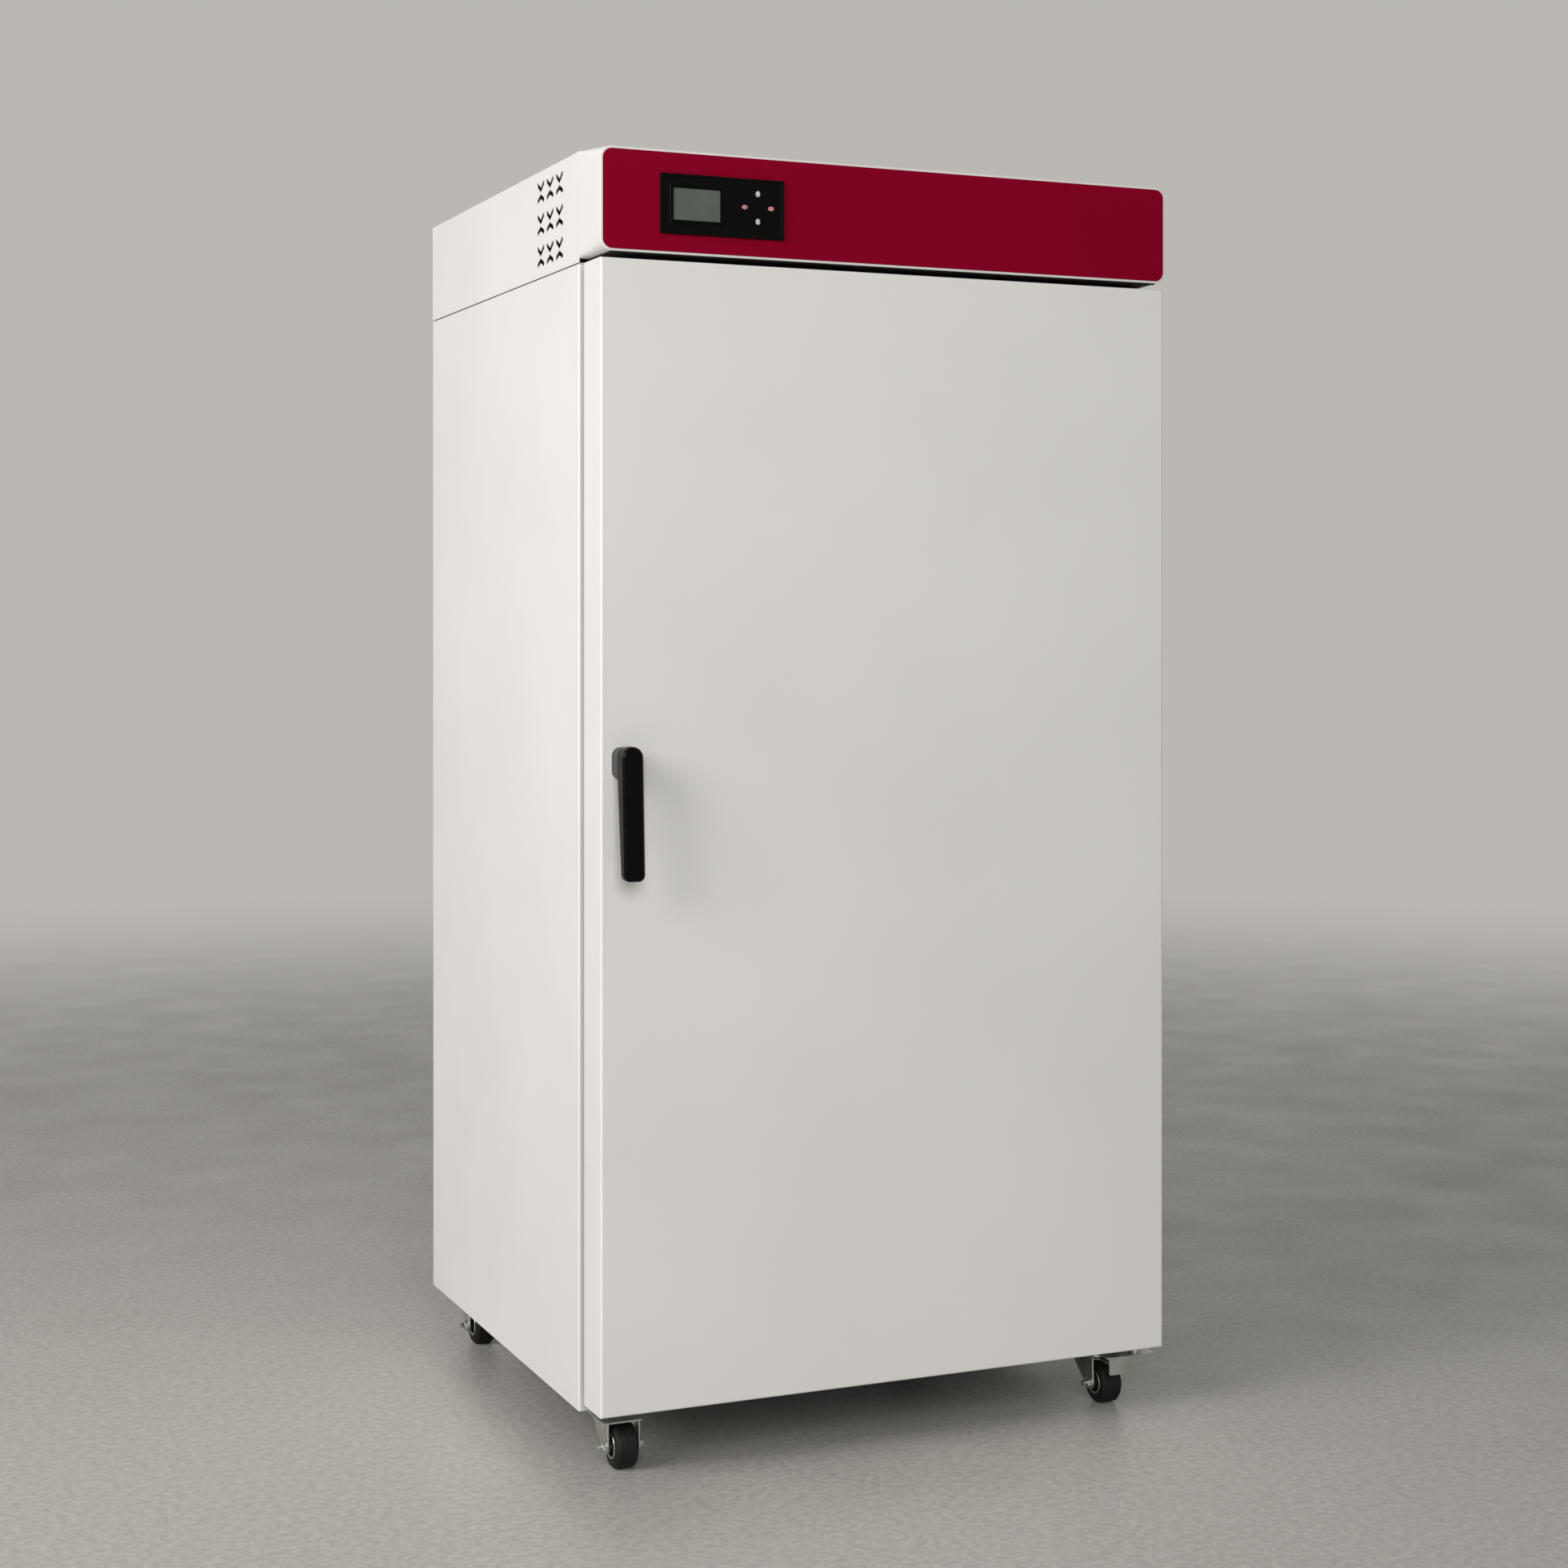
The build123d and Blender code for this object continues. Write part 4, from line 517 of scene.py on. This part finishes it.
def baffle_screws():
    """One screw into each of the air baffle's four standoffs."""
    low, high = corners("air_baffle")
    inset, head_r, head_h = 29.0 * MM, 4.5 * MM, 2.0 * MM
    bm = bmesh.new()
    for z in (low.z + inset, high.z - inset):
        for x in (low.x + inset, high.x - inset):
            cross_screw(bm, Matrix.Translation((x, low.y, z)) @ FACING_FRONT, head_r, head_h)
    make_piece("baffle_screws", bm, "cabinet", "stainless")


door_screws()
baffle_screws()


# Trim on the head, and a painted-shade strip under it
def frame_ring(bm, low, high, width, front, back):
    """Rectangular frame round a window in the front face, mitred, its inner edge sloping in."""
    def rectangle(grow, y):
        """Ring of four corners, larger than the window on every side."""
        places = [(low.x - grow, low.z - grow), (high.x + grow, low.z - grow),
                  (high.x + grow, high.z + grow), (low.x - grow, high.z + grow)]
        return [bm.verts.new((x, y, z)) for x, z in places]

    shoulder = 0.25 * width
    rings = [rectangle(width, back), rectangle(width, front), rectangle(shoulder, front), rectangle(0.0, back)]
    for near, far in zip(rings, rings[1:] + rings[:1]):
        join_rings(bm, near, far)


def screen_frame():
    """Raised frame round the display's window."""
    frame_w, proud, sunk = 3.6 * MM, 1.0 * MM, 0.2 * MM
    low, high = corners("display_screen")
    bm = bmesh.new()
    frame_ring(bm, low, high, frame_w, low.y - proud, low.y + sunk)
    make_piece("screen_frame", bm, "cabinet", "dark_metal")


def painted_shade_strip():
    """Black strip with a lip at its front, under the head's front shell above the door: painted shade where
    the shell's underside lies in shadow.
    """
    low, high = corners("head_front_shell")
    end_gap, front_gap, back_gap = 14.0 * MM, 2.5 * MM, 2.0 * MM
    strip_t, lip_t, lip_w, lip_round = 1.0 * MM, 1.6 * MM, 3.0 * MM, 0.7 * MM
    lip_slope, back_round = 1.0 * MM, 0.5 * MM
    top, front, back = low.z, low.y + front_gap, high.y - back_gap
    profile = [
        (front, top), (front, top - lip_t + lip_round), (front + lip_round, top - lip_t),
        (front + lip_w, top - lip_t), (front + lip_w + lip_slope, top - strip_t),
        (back - back_round, top - strip_t), (back, top - strip_t + back_round), (back, top),
    ]
    bm = bmesh.new()
    ends = []
    for x in (low.x + end_gap, high.x - end_gap):
        ends.append([bm.verts.new((x, y, z)) for y, z in profile])
    join_rings(bm, *ends)
    for end in ends:
        bm.faces.new(end)
    make_piece("painted_shade_strip", bm, "cabinet", "black_plastic")


screen_frame()
painted_shade_strip()


# ---------------------------------------------------------------- stage, light, camera
FAR_COLOUR = srgb(187, 184, 179)


def seen_by_camera(tree):
    """1 for rays from the camera and for reflections, otherwise 0."""
    paths = tree.nodes.new("ShaderNodeLightPath")
    either = tree.nodes.new("ShaderNodeMath")
    either.operation = "MAXIMUM"
    tree.links.new(paths.outputs["Is Camera Ray"], either.inputs[0])
    tree.links.new(paths.outputs["Is Glossy Ray"], either.inputs[1])
    return either.outputs[0]


def fade_to_far(tree, shader, near, far):
    """The floor melts into the background colour with its distance from the middle."""
    coords = tree.nodes.new("ShaderNodeTexCoord")
    length = tree.nodes.new("ShaderNodeVectorMath")
    length.operation = "LENGTH"
    span = tree.nodes.new("ShaderNodeMapRange")
    span.interpolation_type = "SMOOTHSTEP"
    span.inputs["From Min"].default_value = near
    span.inputs["From Max"].default_value = far
    share = tree.nodes.new("ShaderNodeMath")
    share.operation = "MULTIPLY"
    glow = tree.nodes.new("ShaderNodeEmission")
    glow.inputs["Color"].default_value = FAR_COLOUR
    mix = tree.nodes.new("ShaderNodeMixShader")
    tree.links.new(coords.outputs["Object"], length.inputs[0])
    tree.links.new(length.outputs["Value"], span.inputs["Value"])
    tree.links.new(span.outputs["Result"], share.inputs[0])
    tree.links.new(seen_by_camera(tree), share.inputs[1])
    tree.links.new(share.outputs[0], mix.inputs["Fac"])
    tree.links.new(shader.outputs[0], mix.inputs[1])
    tree.links.new(glow.outputs[0], mix.inputs[2])
    tree.links.new(mix.outputs[0], tree.nodes["Material Output"].inputs["Surface"])


def stage_floor():
    """Polished concrete floor, not part of the object."""
    bpy.ops.mesh.primitive_plane_add(size=60.0)
    floor = bpy.context.object
    floor.name = "studio_floor"
    colour = srgb(188, 185, 179)
    material, tree, shader = new_material("studio_floor", colour, roughness=0.32)
    vary_colour(tree, shader, noise(tree, 90.0, detail=8.0), shade(colour, 0.86), shade(colour, 1.10))
    vary_roughness(tree, shader, noise(tree, 5.0, detail=4.0), 0.24, 0.42)
    add_bump(tree, shader, noise(tree, 30.0, detail=6.0), strength=0.05, distance=0.5 * MM)
    fade_to_far(tree, shader, near=2.2, far=7.0)
    floor.data.materials.append(material)


stage_floor()


def area_light(name, place, target, size, power, colour=(1.0, 1.0, 1.0)):
    """Soft square lamp at a place, aimed at a target."""
    data = bpy.data.lights.new(name, "AREA")
    data.size = size
    data.energy = power
    data.color = colour
    lamp = bpy.data.objects.new(name, data)
    bpy.context.collection.objects.link(lamp)
    lamp.location = place
    lamp.rotation_euler = (Vector(target) - Vector(place)).to_track_quat("-Z", "Y").to_euler()


area_light("key_left", (-4.2, -1.3, 2.7), (0, 0, 0.9), size=2.4, power=150.0, colour=(1.0, 0.985, 0.975))
area_light("fill_front", (-1.7, -5.6, 3.0), (0, 0, 0.8), size=2.6, power=130.0)

world = bpy.data.worlds.new("studio")
bpy.context.scene.world = world
world.use_nodes = True
world_tree = world.node_tree
backdrop = world_tree.nodes["Background"]
backdrop.inputs["Color"].default_value = (1.0, 0.995, 0.985, 1.0)
backdrop.inputs["Strength"].default_value = 0.16
seen = world_tree.nodes.new("ShaderNodeBackground")
seen.inputs["Color"].default_value = FAR_COLOUR
mix = world_tree.nodes.new("ShaderNodeMixShader")
world_tree.links.new(seen_by_camera(world_tree), mix.inputs["Fac"])
world_tree.links.new(backdrop.outputs[0], mix.inputs[1])
world_tree.links.new(seen.outputs[0], mix.inputs[2])
world_tree.links.new(mix.outputs[0], world_tree.nodes["World Output"].inputs["Surface"])

camera_data = bpy.data.cameras.new("camera")
camera_data.sensor_width = 36.0
camera_data.lens = 59.137
camera_data.shift_x = -0.0041
camera_data.shift_y = -0.0980
camera = bpy.data.objects.new("camera", camera_data)
bpy.context.collection.objects.link(camera)
camera.location = (-1.4487, -3.3799, 1.0687)
camera.rotation_euler = (math.radians(89.864), 0.0, math.radians(-23.365))
bpy.context.scene.camera = camera
bpy.context.scene.view_settings.view_transform = "Standard"
